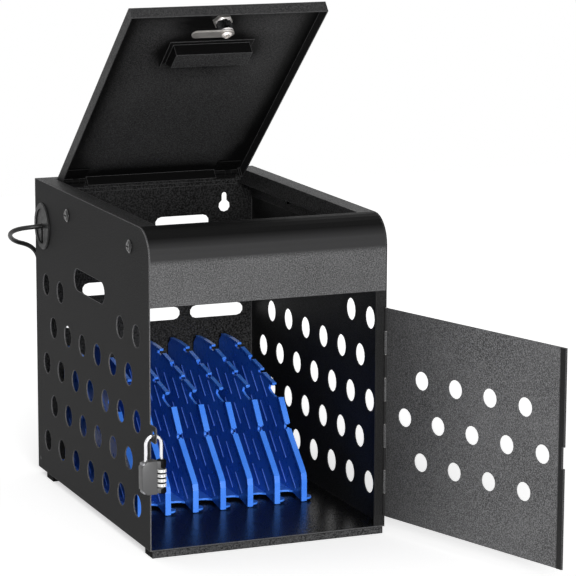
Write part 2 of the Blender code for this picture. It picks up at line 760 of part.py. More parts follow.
def knuckle_ends(left, right):
    """Where the three knuckles of a lid hinge begin and end."""
    cuts = [left] + [left + share * (right - left) for share in KNUCKLE_SHARES] + [right]
    return [(cuts[i] + KNUCKLE_CLEARANCE / 2, cuts[i + 1] - KNUCKLE_CLEARANCE / 2) for i in range(3)]


def lid_panel():
    """The folded lid pan with the pull's mouth, the lock's hole and the hinge notches."""
    top = LID_AXIS_DROP
    low = top - LID_FLANGE
    pan = box("lid_panel", (-LID_HALF, -LID_REACH, low), (LID_HALF, -LID_REAR_SETOUT, top))
    hollow = box("hollow", (-LID_HALF + SHEET, -LID_REACH + SHEET, low - OVERRUN),
                 (LID_HALF - SHEET, -LID_REAR_SETOUT - SHEET, top - SHEET))
    pan = combine(pan, hollow, "DIFFERENCE")
    for left, right in hinge_spans():
        notch = box("notch", (left - SHEET, -LID_REAR_SETOUT - SHEET - OVERRUN, low - OVERRUN),
                    (right + SHEET, OVERRUN, top - SHEET))
        pan = combine(pan, notch, "DIFFERENCE")
    front = -LID_REACH + PULL_FRONT_SETBACK
    half = PULL_LENGTH / 2 - SHEET
    mouth = box("mouth", (-half, front + SHEET, low - OVERRUN), (half, front + PULL_MOUTH - SHEET, top + OVERRUN))
    pan = combine(pan, mouth, "DIFFERENCE")
    bore = cylinder("bore", LOCK_BARREL_DIAMETER / 2 + GAP, (0, LOCK_Y, low), (0, LOCK_Y, top + OVERRUN))
    return combine(pan, bore, "DIFFERENCE")


def lid_pull_cup():
    """The finger pull under the lid's mouth: upright front wall, sloping rear wall, flat floor."""
    front = -LID_REACH + PULL_FRONT_SETBACK
    top = LID_AXIS_DROP - SHEET - GAP
    floor = LID_AXIS_DROP - PULL_DEPTH
    half = PULL_LENGTH / 2
    outer = [(front, top), (front + PULL_MOUTH, top), (front + PULL_FLOOR, floor), (front, floor)]
    slope = PULL_MOUTH - PULL_FLOOR
    inner = [(front + SHEET, top + OVERRUN), (front + PULL_MOUTH - SHEET, top + OVERRUN),
             (front + PULL_MOUTH - SHEET, top), (front + PULL_FLOOR - SHEET + slope * SHEET / PULL_DEPTH,
                                                  floor + SHEET), (front + SHEET, floor + SHEET)]
    cup = plate("lid_pull_cup", [outer], "YZ", -half, half)
    rim = box("rim", (-half - PULL_RIM, front - PULL_RIM, top - SHEET),
              (half + PULL_RIM, front + PULL_MOUTH + PULL_RIM, top))
    cup = combine(cup, rim, "UNION")
    hollow = plate("hollow", [inner], "YZ", -half + SHEET, half - SHEET)
    return combine(cup, hollow, "DIFFERENCE")


def lid_leaf(name, span):
    """A leaf under the lid; its middle knuckle turns between the fixed ones."""
    left, right = span
    high = LID_AXIS_DROP - SHEET - GAP
    clear = LID_KNUCKLE_RADIUS + KNUCKLE_CLEARANCE
    start, end = knuckle_ends(left, right)[1]
    outline = [(left, -LID_LEAF_LENGTH), (right, -LID_LEAF_LENGTH), (right, -clear), (end, -clear),
               (end, 0), (start, 0), (start, -clear), (left, -clear)]
    leaf = plate(name, [outline], "XY", high - LID_LEAF, high)
    return combine(leaf, knuckle(start, end, LID_PIN_RADIUS + GAP, LID_KNUCKLE_RADIUS), "UNION")


def fixed_leaf(name, span):
    """A leaf on the rear rail's lip with the two outer knuckles."""
    left, right = span
    high = REAR_RAIL_FRONT - LID_AXIS_Y - GAP
    clear = LID_KNUCKLE_RADIUS + KNUCKLE_CLEARANCE
    first, middle, last = knuckle_ends(left, right)
    outline = [(left, -LID_LEAF_DROP), (right, -LID_LEAF_DROP), (last[1], 0), (last[0], 0),
               (last[0], -clear), (first[1], -clear), (first[1], 0), (first[0], 0)]
    leaf = plate(name, [outline], "XZ", high - LID_LEAF, high)
    for start, end in (first, last):
        leaf = combine(leaf, knuckle(start, end, LID_PIN_RADIUS + GAP, LID_KNUCKLE_RADIUS), "UNION")
    return moved(leaf, Matrix.Translation((0, LID_AXIS_Y, LID_AXIS_Z)))


def lid_pin(name, span):
    return cylinder(name, LID_PIN_RADIUS, (span[0], LID_AXIS_Y, LID_AXIS_Z), (span[1], LID_AXIS_Y, LID_AXIS_Z), 12)


def lock_barrel():
    """The lock's threaded housing, with its flange on top of the lid."""
    bore = LOCK_PLUG_DIAMETER / 2 + GAP
    barrel = LOCK_BARREL_DIAMETER / 2
    flange = LOCK_FLANGE_DIAMETER / 2
    seat = LID_AXIS_DROP + GAP
    top = seat + LOCK_FLANGE_HEIGHT
    profile = [(bore, top), (flange - LOCK_FLANGE_HEIGHT / 2, top), (flange, seat), (barrel, seat),
               (barrel, CAM_TOP + 2 * GAP), (bore, CAM_TOP + 2 * GAP)]
    return moved(turned("lock_barrel", profile, ROUND_SEGMENTS, closed=True), Matrix.Translation((0, LOCK_Y, 0)))


def lock_nut():
    """The hexagon nut that clamps the lock under the lid."""
    top = LID_AXIS_DROP - SHEET - GAP
    outlines = [circle((0, LOCK_Y), LOCK_NUT_ACROSS, 6),
                circle((0, LOCK_Y), LOCK_BARREL_DIAMETER + 2 * GAP, ROUND_SEGMENTS)]
    return plate("lock_nut", outlines, "XY", top - LOCK_NUT_HEIGHT, top)


def lock_plug():
    """The key plug, round its own axis, with a keyway in its face."""
    top = LID_AXIS_DROP + LOCK_FLANGE_HEIGHT
    plug = cylinder("lock_plug", LOCK_PLUG_DIAMETER / 2, (0, 0, CAM_TOP + GAP), (0, 0, top))
    keyway = box("keyway", (-KEYWAY_LENGTH / 2, -KEYWAY_WIDTH / 2, top - KEYWAY_DEPTH),
                 (KEYWAY_LENGTH / 2, KEYWAY_WIDTH / 2, top + OVERRUN))
    return combine(plug, keyway, "DIFFERENCE")


def lock_cam():
    """The cam bar, which points to the left while the lock is open."""
    length = CAM_LENGTH + CAM_TAIL
    outline = obround(((CAM_TAIL - CAM_LENGTH) / 2, 0), length, CAM_WIDTH, 6)
    return plate("lock_cam", [outline], "XY", CAM_TOP - CAM_THICKNESS, CAM_TOP)


def lock_cam_screw():
    screw = cross_screw(CAM_SCREW_DIAMETER / 2, CAM_SCREW_HEIGHT, CAM_SCREW_DIAMETER / 4, GAP)
    screw.name = "lock_cam_screw"
    turn = Matrix.Rotation(math.pi, 4, "X")
    return moved(screw, Matrix.Translation((0, 0, CAM_TOP - CAM_THICKNESS - 2 * GAP)) @ turn)


def door_cuts():
    """Heights where the continuous hinge's knuckles begin and end."""
    low, high = BASE + DOOR_LOW, BASE + DOOR_HIGH
    return [low + (high - low) * i / DOOR_KNUCKLES for i in range(DOOR_KNUCKLES + 1)]


def castle(cuts, first, reach_in, reach_out):
    """The stepped edge of a hinge leaf, from bottom to top, as (reach, height) points."""
    points = []
    last = len(cuts) - 2
    for i in range(len(cuts) - 1):
        own = i % 2 == first
        shift = KNUCKLE_CLEARANCE / 2 if own else -KNUCKLE_CLEARANCE / 2
        low = cuts[i] + (shift if i else 0)
        high = cuts[i + 1] - (shift if i < last else 0)
        reach = reach_out if own else reach_in
        points += [(reach, low), (reach, high)]
    return points


def door_knuckles(cuts, first):
    bore = DOOR_PIN_RADIUS + DOOR_PIN_CLEARANCE
    rings = []
    for i in range(first, len(cuts) - 1, 2):
        low, high = cuts[i] + KNUCKLE_CLEARANCE / 2, cuts[i + 1] - KNUCKLE_CLEARANCE / 2
        profile = [(bore, high), (DOOR_KNUCKLE_RADIUS, high), (DOOR_KNUCKLE_RADIUS, low), (bore, low)]
        rings.append(turned("knuckle", profile, 12, closed=True))
    return merged("knuckles", rings)


def door_holes():
    """Three staggered rows of round holes about the middle of the door."""
    middle = (-DOOR_LENGTH / 2, BASE + (DOOR_LOW + DOOR_HIGH) / 2)
    holes = []
    for row, count in ((-1, 4), (0, 5), (1, 4)):
        for column in range(count):
            across = middle[0] + (column - (count - 1) / 2) * DOOR_HOLE_PITCH
            holes.append(circle((across, middle[1] + row * DOOR_HOLE_ROW_PITCH), DOOR_HOLE_DIAMETER))
    return holes


def door_free_edge(inset=0.0):
    """The free edge from top to bottom, notched where the hasp tab passes."""
    edge, deep = inset - DOOR_LENGTH, inset - DOOR_LENGTH + NOTCH_DEPTH
    low, high = TAB_HOLE_Z - NOTCH_HEIGHT / 2 - inset, TAB_HOLE_Z + NOTCH_HEIGHT / 2 + inset
    return [(edge, BASE + DOOR_HIGH - inset), (edge, high), (deep, high), (deep, low), (edge, low),
            (edge, BASE + DOOR_LOW + inset)]


def door_panel():
    """The door sheet with its flat hem and its own knuckles, about the hinge axis."""
    cuts = door_cuts()
    inner = -(DOOR_KNUCKLE_RADIUS + KNUCKLE_CLEARANCE)
    outer = -(DOOR_PIN_RADIUS + DOOR_PIN_CLEARANCE + DOOR_KNUCKLE_RADIUS) / 2
    outline = castle(cuts, 1, inner, outer) + door_free_edge()
    door = plate("door_panel", [outline], "XZ", -SHEET / 2, SHEET / 2)
    free = door_free_edge(GAP / 2)
    hem_edge = [(DOOR_HEM - DOOR_LENGTH, free[-1][1]), (DOOR_HEM - DOOR_LENGTH, free[0][1])]
    hem = plate("hem", [hem_edge + free], "XZ", 0, SHEET / 2 + SHEET)
    door = combine(door, hem, "UNION")
    door = combine(door, door_knuckles(cuts, 1), "UNION")
    holes = plate("holes", door_holes(), "XZ", -SHEET - OVERRUN, SHEET + OVERRUN)
    return combine(door, holes, "DIFFERENCE")


def door_hinge_leaf():
    """The fixed leaf on the stile, the whole height of the door, with its knuckles."""
    cuts = door_cuts()
    inner = DOOR_AXIS_X - DOOR_KNUCKLE_RADIUS - KNUCKLE_CLEARANCE
    edge = DOOR_AXIS_X - DOOR_LEAF_WIDTH
    outline = castle(cuts, 0, inner, DOOR_AXIS_X) + [(edge, cuts[-1]), (edge, cuts[0])]
    leaf = plate("door_hinge_leaf", [outline], "XZ", FRONT - GAP - DOOR_LEAF, FRONT - GAP)
    rings = moved(door_knuckles(cuts, 0), Matrix.Translation((DOOR_AXIS_X, DOOR_AXIS_Y, 0)))
    return combine(leaf, rings, "UNION")


def door_hinge_pin():
    low, high = BASE + DOOR_LOW, BASE + DOOR_HIGH
    return cylinder("door_hinge_pin", DOOR_PIN_RADIUS, (DOOR_AXIS_X, DOOR_AXIS_Y, low),
                    (DOOR_AXIS_X, DOOR_AXIS_Y, high), 12)


def padlock_shackle():
    """The shackle about the point where its crown hangs in the hasp tab."""
    half = SHACKLE_SPACING / 2
    crown = arc((0, -half), half, 180, 0, 12)
    points = [(-half, 0, -SHACKLE_RISE - SHACKLE_LONG_ENTRY)]
    points += [(across, 0, up) for across, up in crown] + [(half, 0, -SHACKLE_RISE - SHACKLE_ENTRY)]
    return tube("padlock_shackle", points, SHACKLE_DIAMETER / 2, 3)


def padlock_body():
    """The chamfered body with sockets for the shackle and an open window for the dials."""
    top = -SHACKLE_RISE
    low = top - PADLOCK_HEIGHT
    left, right = -PADLOCK_LEFT, PADLOCK_RIGHT
    cut = PADLOCK_CHAMFER
    small = PADLOCK_CORNER
    outline = [(left + cut, low), (right - small, low), (right, low + small), (right, top - small),
               (right - small, top), (left + cut, top), (left, top - cut), (left, low + cut)]
    body = plate("padlock_body", [outline], "XZ", -PADLOCK_DEPTH / 2, PADLOCK_DEPTH / 2)
    window = box("window", (DIAL_OFFSET - DIAL_RADIUS - 2 * GAP, -PADLOCK_DEPTH, DIAL_LOW - GAP),
                 (right + OVERRUN, PADLOCK_DEPTH, DIAL_LOW + DIAL_COUNT * DIAL_PITCH + GAP))
    body = combine(body, window, "DIFFERENCE")
    for side, entry in ((-1, SHACKLE_LONG_ENTRY), (1, SHACKLE_ENTRY)):
        socket = cylinder("socket", SHACKLE_DIAMETER / 2 + SHACKLE_CLEARANCE,
                          (side * SHACKLE_SPACING / 2, 0, top - entry - SHACKLE_CLEARANCE),
                          (side * SHACKLE_SPACING / 2, 0, top + OVERRUN), 12)
        body = combine(body, socket, "DIFFERENCE")
    return body


def padlock_spindle():
    low = DIAL_LOW
    return cylinder("padlock_spindle", SPINDLE_RADIUS, (DIAL_OFFSET, 0, low),
                    (DIAL_OFFSET, 0, low + DIAL_COUNT * DIAL_PITCH), 12)


def padlock_dial(name):
    """One dial with bevelled rims, about its own middle."""
    half = DIAL_HEIGHT / 2
    rim = DIAL_RADIUS - DIAL_BEVEL
    bore = SPINDLE_RADIUS + GAP
    profile = [(bore, half), (rim, half), (DIAL_RADIUS, half - DIAL_BEVEL), (DIAL_RADIUS, DIAL_BEVEL - half),
               (rim, -half), (bore, -half)]
    return turned(name, profile, 20, closed=True)


def smooth_line(points, steps=3):
    """Points on a smooth curve through the given ones."""
    padded = [points[0]] + list(points) + [points[-1]]
    line = []
    for i in range(1, len(padded) - 2):
        before, start, end, after = (Vector(padded[i + k]) for k in (-1, 0, 1, 2))
        for step in range(steps):
            t = step / steps
            line.append(tuple(0.5 * ((2 * start) + (end - before) * t
                                     + (2 * before - 5 * start + 4 * end - after) * t ** 2
                                     + (3 * start - before - 3 * end + after) * t ** 3)))
    return line + [tuple(points[-1])]


def clip_points(point, run):
    """A cord clip cut in from the edge: a narrow mouth that opens into a round seat."""
    mouth, radius = CLIP_MOUTH / 2, CLIP_WIDTH / 2
    side = Vector((run.y, -run.x))
    rise = math.sqrt(radius ** 2 - mouth ** 2)
    lean = math.degrees(math.atan2(rise, mouth))
    ring = arc((0, CLIP_LIP + rise), radius, 180 + lean, -lean, ARC_STEPS)
    local = [(-mouth, 0)] + ring + [(mouth, 0)]
    return [tuple(Vector(point) + run * across + side * deep) for across, deep in local]


def rack_line(shares):
    """Points of a divider's edge from their shares of its length and height."""
    return [(along * RACK_LENGTH, up * RACK_HEIGHT) for along, up in shares]


def beads(paths, width, depth):
    """Flanges along stretches of a divider's edge, wider than its web."""
    return plate("beads", [thickened(path, -depth) for path in paths], "YZ", -width / 2, width / 2)


def bead_run(shares):
    """The line of a top flange: a little proud of its stretch of edge and short of its ends."""
    points = [Vector((a, b + BEAD_PROUD)) for a, b in rack_line(shares)]
    points[0] = points[0] + (points[1] - points[0]).normalized() * BEAD_INSET
    points[-1] = points[-1] + (points[-2] - points[-1]).normalized() * BEAD_INSET
    return points


def divider():
    """One divider about its foot: web, front beads, hooked top with its own beads, clip and toe."""
    front = rack_line(FRONT_SHARES)
    mouth = [Vector(point) for point in front[CLIP_AFTER:CLIP_AFTER + 2]]
    run = (mouth[1] - mouth[0]).normalized()
    clip = clip_points((mouth[0] + mouth[1]) / 2, run)
    edge = front[:CLIP_AFTER] + clip + front[CLIP_AFTER + 2:]
    for shares in (HOOK_SHARES, LOW_RUN_SHARES, LOW_NOTCH_SHARES, MIDDLE_RUN_SHARES, MIDDLE_NOTCH_SHARES,
                   HIGH_RUN_SHARES, HIGH_NOTCH_SHARES, TOP_RUN_SHARES, REAR_SHARES):
        edge += rack_line(shares)
    step = RACK_BASE_LIFT + RACK_BASE_THICKNESS + GAP
    notch = RACK_BASE_SETBACK - SCALLOP_DEPTH - GAP
    edge += [(RACK_LENGTH, step), (notch, step), (notch, RACK_BASE_LIFT), (TOE_BACK, 0)]
    web = plate("divider", [edge], "YZ", -DIVIDER_WEB / 2, DIVIDER_WEB / 2)
    proud = [(a - BEAD_PROUD, b) for a, b in front]
    low, high = proud[:CLIP_AFTER + 1], proud[CLIP_AFTER + 1:]
    low[0] = (low[0][0], BEAD_INSET)
    web = combine(web, beads([low, high], DIVIDER_BEAD, BEAD_DEPTH), "UNION")
    tops = [bead_run(shares) for shares in (LOW_RUN_SHARES, MIDDLE_RUN_SHARES, HIGH_RUN_SHARES, TOP_RUN_SHARES)]
    web = combine(web, beads(tops, TOP_BEAD, TOP_BEAD_DEPTH), "UNION")
    rim = arc((DIVIDER_BEAD / 2, TOE_BACK), TAB_FOOT_RADIUS, -90, 90)
    root = [(0, TOE_BACK + TAB_FOOT_RADIUS), (0, BEAD_DEPTH / 2)]
    toe = plate("toe", [rim + root], "XY", TAB_FOOT_LIFT, TAB_FOOT_LIFT + TAB_FOOT_THICKNESS)
    return combine(web, toe, "UNION")


def rack_base():
    """The raised plate that joins the dividers: scalloped front edge, skirts down to the floor elsewhere."""
    half = (DIVIDER_COUNT - 1) * DIVIDER_PITCH / 2
    left, right = RACK_CENTRE_X - half - RACK_BASE_MARGIN, RACK_CENTRE_X + half + RACK_BASE_MARGIN
    front, rear = RACK_FRONT_Y + RACK_BASE_SETBACK, RACK_FRONT_Y + RACK_LENGTH
    outline = [(left, front - SCALLOP_DEPTH)]
    for i in range(DIVIDER_COUNT - 1):
        first = RACK_CENTRE_X - half + i * DIVIDER_PITCH + DIVIDER_WEB / 2
        span = DIVIDER_PITCH - DIVIDER_WEB
        outline += [(first + span * along, front - SCALLOP_DEPTH * (2 * along - 1) ** 4) for along in SCALLOP_SHARES]
    outline += [(right, front - SCALLOP_DEPTH), (right, rear), (left, rear)]
    low = FLOOR + GAP + RACK_BASE_LIFT
    deck = plate("rack_base", [outline], "XY", low, low + RACK_BASE_THICKNESS)
    inner = [(left + SKIRT, front), (left + SKIRT, rear - SKIRT), (right - SKIRT, rear - SKIRT), (right - SKIRT, front)]
    skirt = [(left, front), (left, rear), (right, rear), (right, front)] + list(reversed(inner))
    return combine(deck, plate("skirt", [skirt], "XY", FLOOR + GAP, low + RACK_BASE_THICKNESS / 2), "UNION")


def socket_outlines(centre):
    """Two blade slots and a round earth hole for one outlet."""
    half = SOCKET_SLOT_SPACING / 2
    slots = [rectangle(centre + side * half - SOCKET_SLOT_WIDTH / 2, centre + side * half + SOCKET_SLOT_WIDTH / 2,
                       STRIP_Y - SOCKET_SLOT_LENGTH / 2 + SOCKET_EARTH_DROP / 3,
                       STRIP_Y + SOCKET_SLOT_LENGTH / 2 + SOCKET_EARTH_DROP / 3) for side in (-1, 1)]
    earth = circle((centre, STRIP_Y - SOCKET_EARTH_DROP * 2 / 3), SOCKET_EARTH_DIAMETER, 8)
    return slots + [earth]


def socket_centres():
    first = STRIP_LEFT + SOCKET_PITCH * 3 / 4
    return [first + i * SOCKET_PITCH for i in range(SOCKET_COUNT)]


def rocker_centre():
    return socket_centres()[-1] + (SOCKET_PITCH + ROCKER_LENGTH) / 2


def strip_housing():
    """The power strip's case with its outlets and the opening for the switch."""
    low, high = STRIP_BOTTOM, STRIP_BOTTOM + STRIP_HEIGHT
    left, right = STRIP_LEFT, STRIP_LEFT + STRIP_LENGTH
    front, rear = STRIP_Y - STRIP_WIDTH / 2, STRIP_Y + STRIP_WIDTH / 2
    housing = plate("strip_housing", [rounded(left, right, front, rear, STRIP_CORNER)], "XY", low, high)
    outlines = []
    for centre in socket_centres():
        outlines += socket_outlines(centre)
    middle = rocker_centre()
    half = ROCKER_LENGTH / 2 + ROCKER_CLEARANCE
    wide = ROCKER_WIDTH / 2 + ROCKER_CLEARANCE
    outlines.append(rectangle(middle - half, middle + half, STRIP_Y - wide, STRIP_Y + wide))
    return combine(housing, plate("holes", outlines, "XY", high - SOCKET_DEPTH, high + OVERRUN), "DIFFERENCE")


def strip_rocker():
    """The rocker about its pivot: two faces that slope up to its ends."""
    half = ROCKER_LENGTH / 2 - ROCKER_CLEARANCE
    rise = half * math.tan(math.radians(ROCKER_TILT_DEGREES))
    below = ROCKER_DEPTH - ROCKER_PROUD
    outline = [(-half, ROCKER_PROUD + rise), (0, ROCKER_PROUD), (half, ROCKER_PROUD + rise),
               (half * 3 / 4, -below), (-half * 3 / 4, -below)]
    return plate("strip_rocker", [outline], "XZ", -ROCKER_WIDTH / 2, ROCKER_WIDTH / 2)


def strip_relief():
    """The tapered, ribbed strain relief where the cord leaves the strip's end."""
    wide, narrow = RELIEF_DIAMETER / 2, CORD_DIAMETER / 2 + RELIEF_WALL
    bore = CORD_DIAMETER / 2 + GAP
    profile = [(bore, RELIEF_LENGTH), (narrow, RELIEF_LENGTH), (wide, 0), (bore, 0)]
    relief = turned("strip_relief", profile, HOLE_SEGMENTS, closed=True)
    turn = Matrix.Rotation(-math.pi / 2, 4, "Y")
    return moved(relief, Matrix.Translation((STRIP_LEFT - GAP, STRIP_Y, CORD_STRIP_Z)) @ turn)


def even_points(route, step):
    """Evenly spaced points on a smooth curve through a route."""
    fine = [Vector(point) for point in smooth_line(route, 12)]
    runs = [(b - a).length for a, b in zip(fine, fine[1:])]
    count = max(2, round(sum(runs) / step))
    spacing = sum(runs) / count
    points, travelled, i = [tuple(fine[0])], 0.0, 0
    for k in range(1, count):
        while travelled + runs[i] < k * spacing:
            travelled += runs[i]
            i += 1
        points.append(tuple(fine[i].lerp(fine[i + 1], (k * spacing - travelled) / runs[i])))
    return points + [tuple(fine[-1])]


def lead_points():
    """The cord's line from the strip through the grommet, round the corner and down to the coil."""
    start = STRIP_LEFT - RELIEF_LENGTH - GAP
    d, bend = CORD_DIAMETER, CORD_BEND
    far = COIL_Y + COIL_OUTER
    rise = GROMMET_Z - CORD_STRIP_Z
    turn = arc((start - d, STRIP_Y + bend), bend, -90, -180, CORD_TURN_STEPS)
    enter = arc((LEFT + d, GROMMET_Y - bend), bend, 0, 90, CORD_TURN_STEPS)
    between = [(turn[-1][0] + (enter[0][0] - turn[-1][0]) * along * along * (3 - 2 * along),
                turn[-1][1] + (enter[0][1] - turn[-1][1]) * along) for along in CROSSING_SHARES]
    inside = [(x, y, CORD_STRIP_Z) for x, y in turn]
    inside += [(x, y, CORD_STRIP_Z + rise * along) for (x, y), along in zip(between, CROSSING_SHARES)]
    inside += [(x, y, GROMMET_Z) for x, y in enter]
    outside = [(-1.5, 0, 0), (-4.2, 0.5, -0.2), (-6.6, 2.6, -1.1), (-7.2, 5.8, -2.4), (-5.6, 8.8, -3.9),
               (-2.2, 10.9, -6.2), (1.2, 12.2, -9.6), (3.6, 13.0, -14.2)]
    drop = [(LEFT + x * d, GROMMET_Y + y * d, GROMMET_Z + z * d) for x, y, z in outside]
    drop.append((LEFT + 4.8 * d, GROMMET_Y + 13.4 * d, (GROMMET_Z + COIL_Z) / 2 - 2 * d))
    floor = [(5.2, 14.2, 13.0), (6.4, 16.2, 6.6), (9.2, 19.6, 2.2)]
    land = [(LEFT + x * d, GROMMET_Y + y * d, COIL_Z + z * d) for x, y, z in floor]
    land += [(LEFT + 13.5 * d, far - 2.2 * d, COIL_Z + 0.3 * d), (LEFT + 18.5 * d, far - 0.3 * d, COIL_Z),
             (LEFT + 23 * d, far, COIL_Z), (COIL_X - d - GAP, far, COIL_Z)]
    line = even_points(inside + drop + land, CORD_STEP)
    return [(start + RELIEF_LENGTH - d, STRIP_Y, CORD_STRIP_Z)] + line


def coil_points():
    """Turns that spiral in on the floor, climb at the innermost and spiral out on top."""
    d = CORD_DIAMETER
    points = [(COIL_X - d, COIL_Y + COIL_OUTER, COIL_Z)]
    for k in range(COIL_LAYERS * COIL_TURNS * COIL_STEPS + 1):
        turns = k / COIL_STEPS
        radius = COIL_OUTER - COIL_PITCH * (COIL_TURNS - abs(COIL_TURNS - turns))
        climb = min(max((turns - COIL_TURNS) * 2 + 0.5, 0), 1)
        angle = math.pi / 2 - math.tau * turns
        points.append((COIL_X + radius * math.cos(angle), COIL_Y + radius * math.sin(angle),
                       COIL_Z + COIL_PITCH * climb * climb * (3 - 2 * climb)))
    top = points[-1]
    return points + [(top[0] + d, top[1], top[2]), (top[0] + 4 * d, top[1], PLUG_DEPTH / 2 + GAP),
                     (top[0] + 5 * d + RELIEF_LENGTH / 2, top[1], PLUG_DEPTH / 2 + GAP)]


def power_cord_tie():
    """A strap round the coil's strands on the side near the cabinet."""
    near = COIL_OUTER - COIL_PITCH * (COIL_TURNS - 0.5) - CORD_DIAMETER * 2 / 3
    away = COIL_OUTER - COIL_PITCH / 2 + CORD_DIAMETER / 2 + GAP
    low = COIL_Z - CORD_DIAMETER / 2 - GAP
    high = COIL_Z + COIL_PITCH + CORD_DIAMETER / 2 + GAP
    t = TIE_THICKNESS
    inner = rounded(COIL_Y - away, COIL_Y - near, low, high, CORD_DIAMETER / 6)
    outer = rounded(COIL_Y - away - t, COIL_Y - near + t, low - t, high + t, CORD_DIAMETER / 3)
    return plate("power_cord_tie", [outer, inner], "YZ", COIL_X - TIE_WIDTH / 2, COIL_X + TIE_WIDTH / 2)


def plug_frame():
    """The plug's own frame: X runs on along the cord, which ends at its origin."""
    start = COIL_X + 5 * CORD_DIAMETER
    return Matrix.Translation((start, COIL_Y + COIL_OUTER, PLUG_DEPTH / 2 + GAP))


def power_plug_body():
    """The moulded plug with its tapered strain relief, bored for the cord."""
    half = PLUG_WIDTH / 2
    slim = RELIEF_DIAMETER / 2
    end = RELIEF_LENGTH + PLUG_LENGTH
    outline = [(RELIEF_LENGTH, -slim), (RELIEF_LENGTH + PLUG_LENGTH / 4, -half), (end, -half), (end, half),
               (RELIEF_LENGTH + PLUG_LENGTH / 4, half), (RELIEF_LENGTH, slim)]
    body = plate("power_plug_body", [outline], "XY", -PLUG_DEPTH / 2, PLUG_DEPTH / 2)
    narrow = CORD_DIAMETER / 2 + RELIEF_WALL
    relief = cylinder("relief", narrow, (0, 0, 0), (RELIEF_LENGTH + SHEET, 0, 0), HOLE_SEGMENTS, slim)
    body = combine(body, relief, "UNION")
    bore = cylinder("bore", CORD_DIAMETER / 2 + GAP, (-OVERRUN, 0, 0), (RELIEF_LENGTH * 3 / 4, 0, 0),
                    HOLE_SEGMENTS)
    return moved(combine(body, bore, "DIFFERENCE"), plug_frame())


def power_plug_blades():
    """Two flat blades and a round earth pin on the plug's face plate."""
    start = RELIEF_LENGTH + PLUG_LENGTH + GAP
    rise = BLADE_WIDTH / 4
    half = (BLADE_SPACING + 2 * BLADE_THICKNESS) / 2
    drop = -PLUG_DEPTH / 4 - BLADE_THICKNESS
    root = start + BLADE_THICKNESS
    pins = box("power_plug_blades", (start, -half, drop - BLADE_WIDTH / 2), (root, half, rise + BLADE_WIDTH * 2 / 3))
    for side in (-1, 1):
        middle = side * BLADE_SPACING / 2
        blade = box("blade", (start + BLADE_THICKNESS / 2, middle - BLADE_THICKNESS / 2, rise - BLADE_WIDTH / 2),
                    (start + BLADE_LENGTH, middle + BLADE_THICKNESS / 2, rise + BLADE_WIDTH / 2))
        pins = combine(pins, blade, "UNION")
    earth = cylinder("earth", BLADE_WIDTH / 3, (start + BLADE_THICKNESS / 2, 0, drop), (start + BLADE_LENGTH, 0, drop), 12)
    return moved(combine(pins, earth, "UNION"), plug_frame())


def build_carcass(group):
    for item in (left_side_panel(), right_side_panel(), rear_panel(), base_panel(),
                 foot_rail("front_foot_rail", FRONT),
                 foot_rail("rear_foot_rail", REAR - REAR_FOOT_SETBACK - FOOT_DEPTH),
                 front_header(), side_rail("left_top_rail", -1), side_rail("right_top_rail", 1),
                 rear_rail(), shelf_panel()):
        finish(item, PAINTED, group)
    for side, hand in ((-1, "left"), (1, "right")):
        for seat, end in zip(screw_places(), ("front", "rear")):
            finish(panel_screw("screw_%s_%s" % (hand, end), side, seat), SATIN_BLACK, group)
    finish(grommet_ring(), SATIN_BLACK, group)
    finish(grommet_cap(), SATIN_BLACK, group)


def build_lid(group):
    axis = axis_empty("lid_axis", (0, LID_AXIS_Y, LID_AXIS_Z), group, None, (-LID_OPEN_DEGREES, 0, 0))
    for item in (lid_panel(), lid_pull_cup()):
        finish(item, PAINTED, group, axis)
    for item in (lock_barrel(), lock_nut()):
        finish(item, BRIGHT_STEEL, group, axis)
    for span, hand in zip(hinge_spans(), ("left", "right")):
        finish(fixed_leaf("lid_hinge_fixed_leaf_" + hand, span), BRIGHT_STEEL, group)
        finish(lid_pin("lid_hinge_pin_" + hand, span), BRIGHT_STEEL, group)
        finish(lid_leaf("lid_hinge_lid_leaf_" + hand, span), BRIGHT_STEEL, group, axis)
    lock = axis_empty("lock_axis", (0, LOCK_Y, 0), group, axis)
    for item in (lock_plug(), lock_cam(), lock_cam_screw()):
        finish(item, BRIGHT_STEEL, group, lock)


def build_door(group):
    finish(door_hinge_leaf(), PAINTED, group)
    finish(door_hinge_pin(), BRIGHT_STEEL, group)
    axis = axis_empty("door_axis", (DOOR_AXIS_X, DOOR_AXIS_Y, 0), group, None, (0, 0, DOOR_OPEN_DEGREES))
    finish(door_panel(), PAINTED, group, axis)


def build_padlock(group):
    hang = axis_empty("padlock_hang", (LEFT + SHEET / 2, TAB_HOLE_Y, TAB_HOLE_Z - HANG_DROP), group)
    finish(padlock_shackle(), BRIGHT_STEEL, group, hang)
    finish(padlock_body(), GREY_METAL, group, hang)
    finish(padlock_spindle(), BRASS, group, hang)
    for i in range(DIAL_COUNT):
        height = DIAL_LOW + (i + 0.5) * DIAL_PITCH
        axis = axis_empty("dial_axis_%d" % (i + 1), (DIAL_OFFSET, 0, height), group, hang)
        finish(padlock_dial("padlock_dial_%d" % (i + 1)), WHITE_PLASTIC, group, axis)


def build_rack(group):
    finish(rack_base(), BLUE_PLASTIC, group)
    first = divider()
    for i in range(DIVIDER_COUNT):
        item = first if i == 0 else add_mesh(first.data.copy(), "divider")
        item.name = "rack_divider_%d" % (i + 1)
        across = RACK_CENTRE_X + (i - (DIVIDER_COUNT - 1) / 2) * DIVIDER_PITCH
        item.location = (across, RACK_FRONT_Y, FLOOR + GAP)
        finish(item, BLUE_PLASTIC, group)


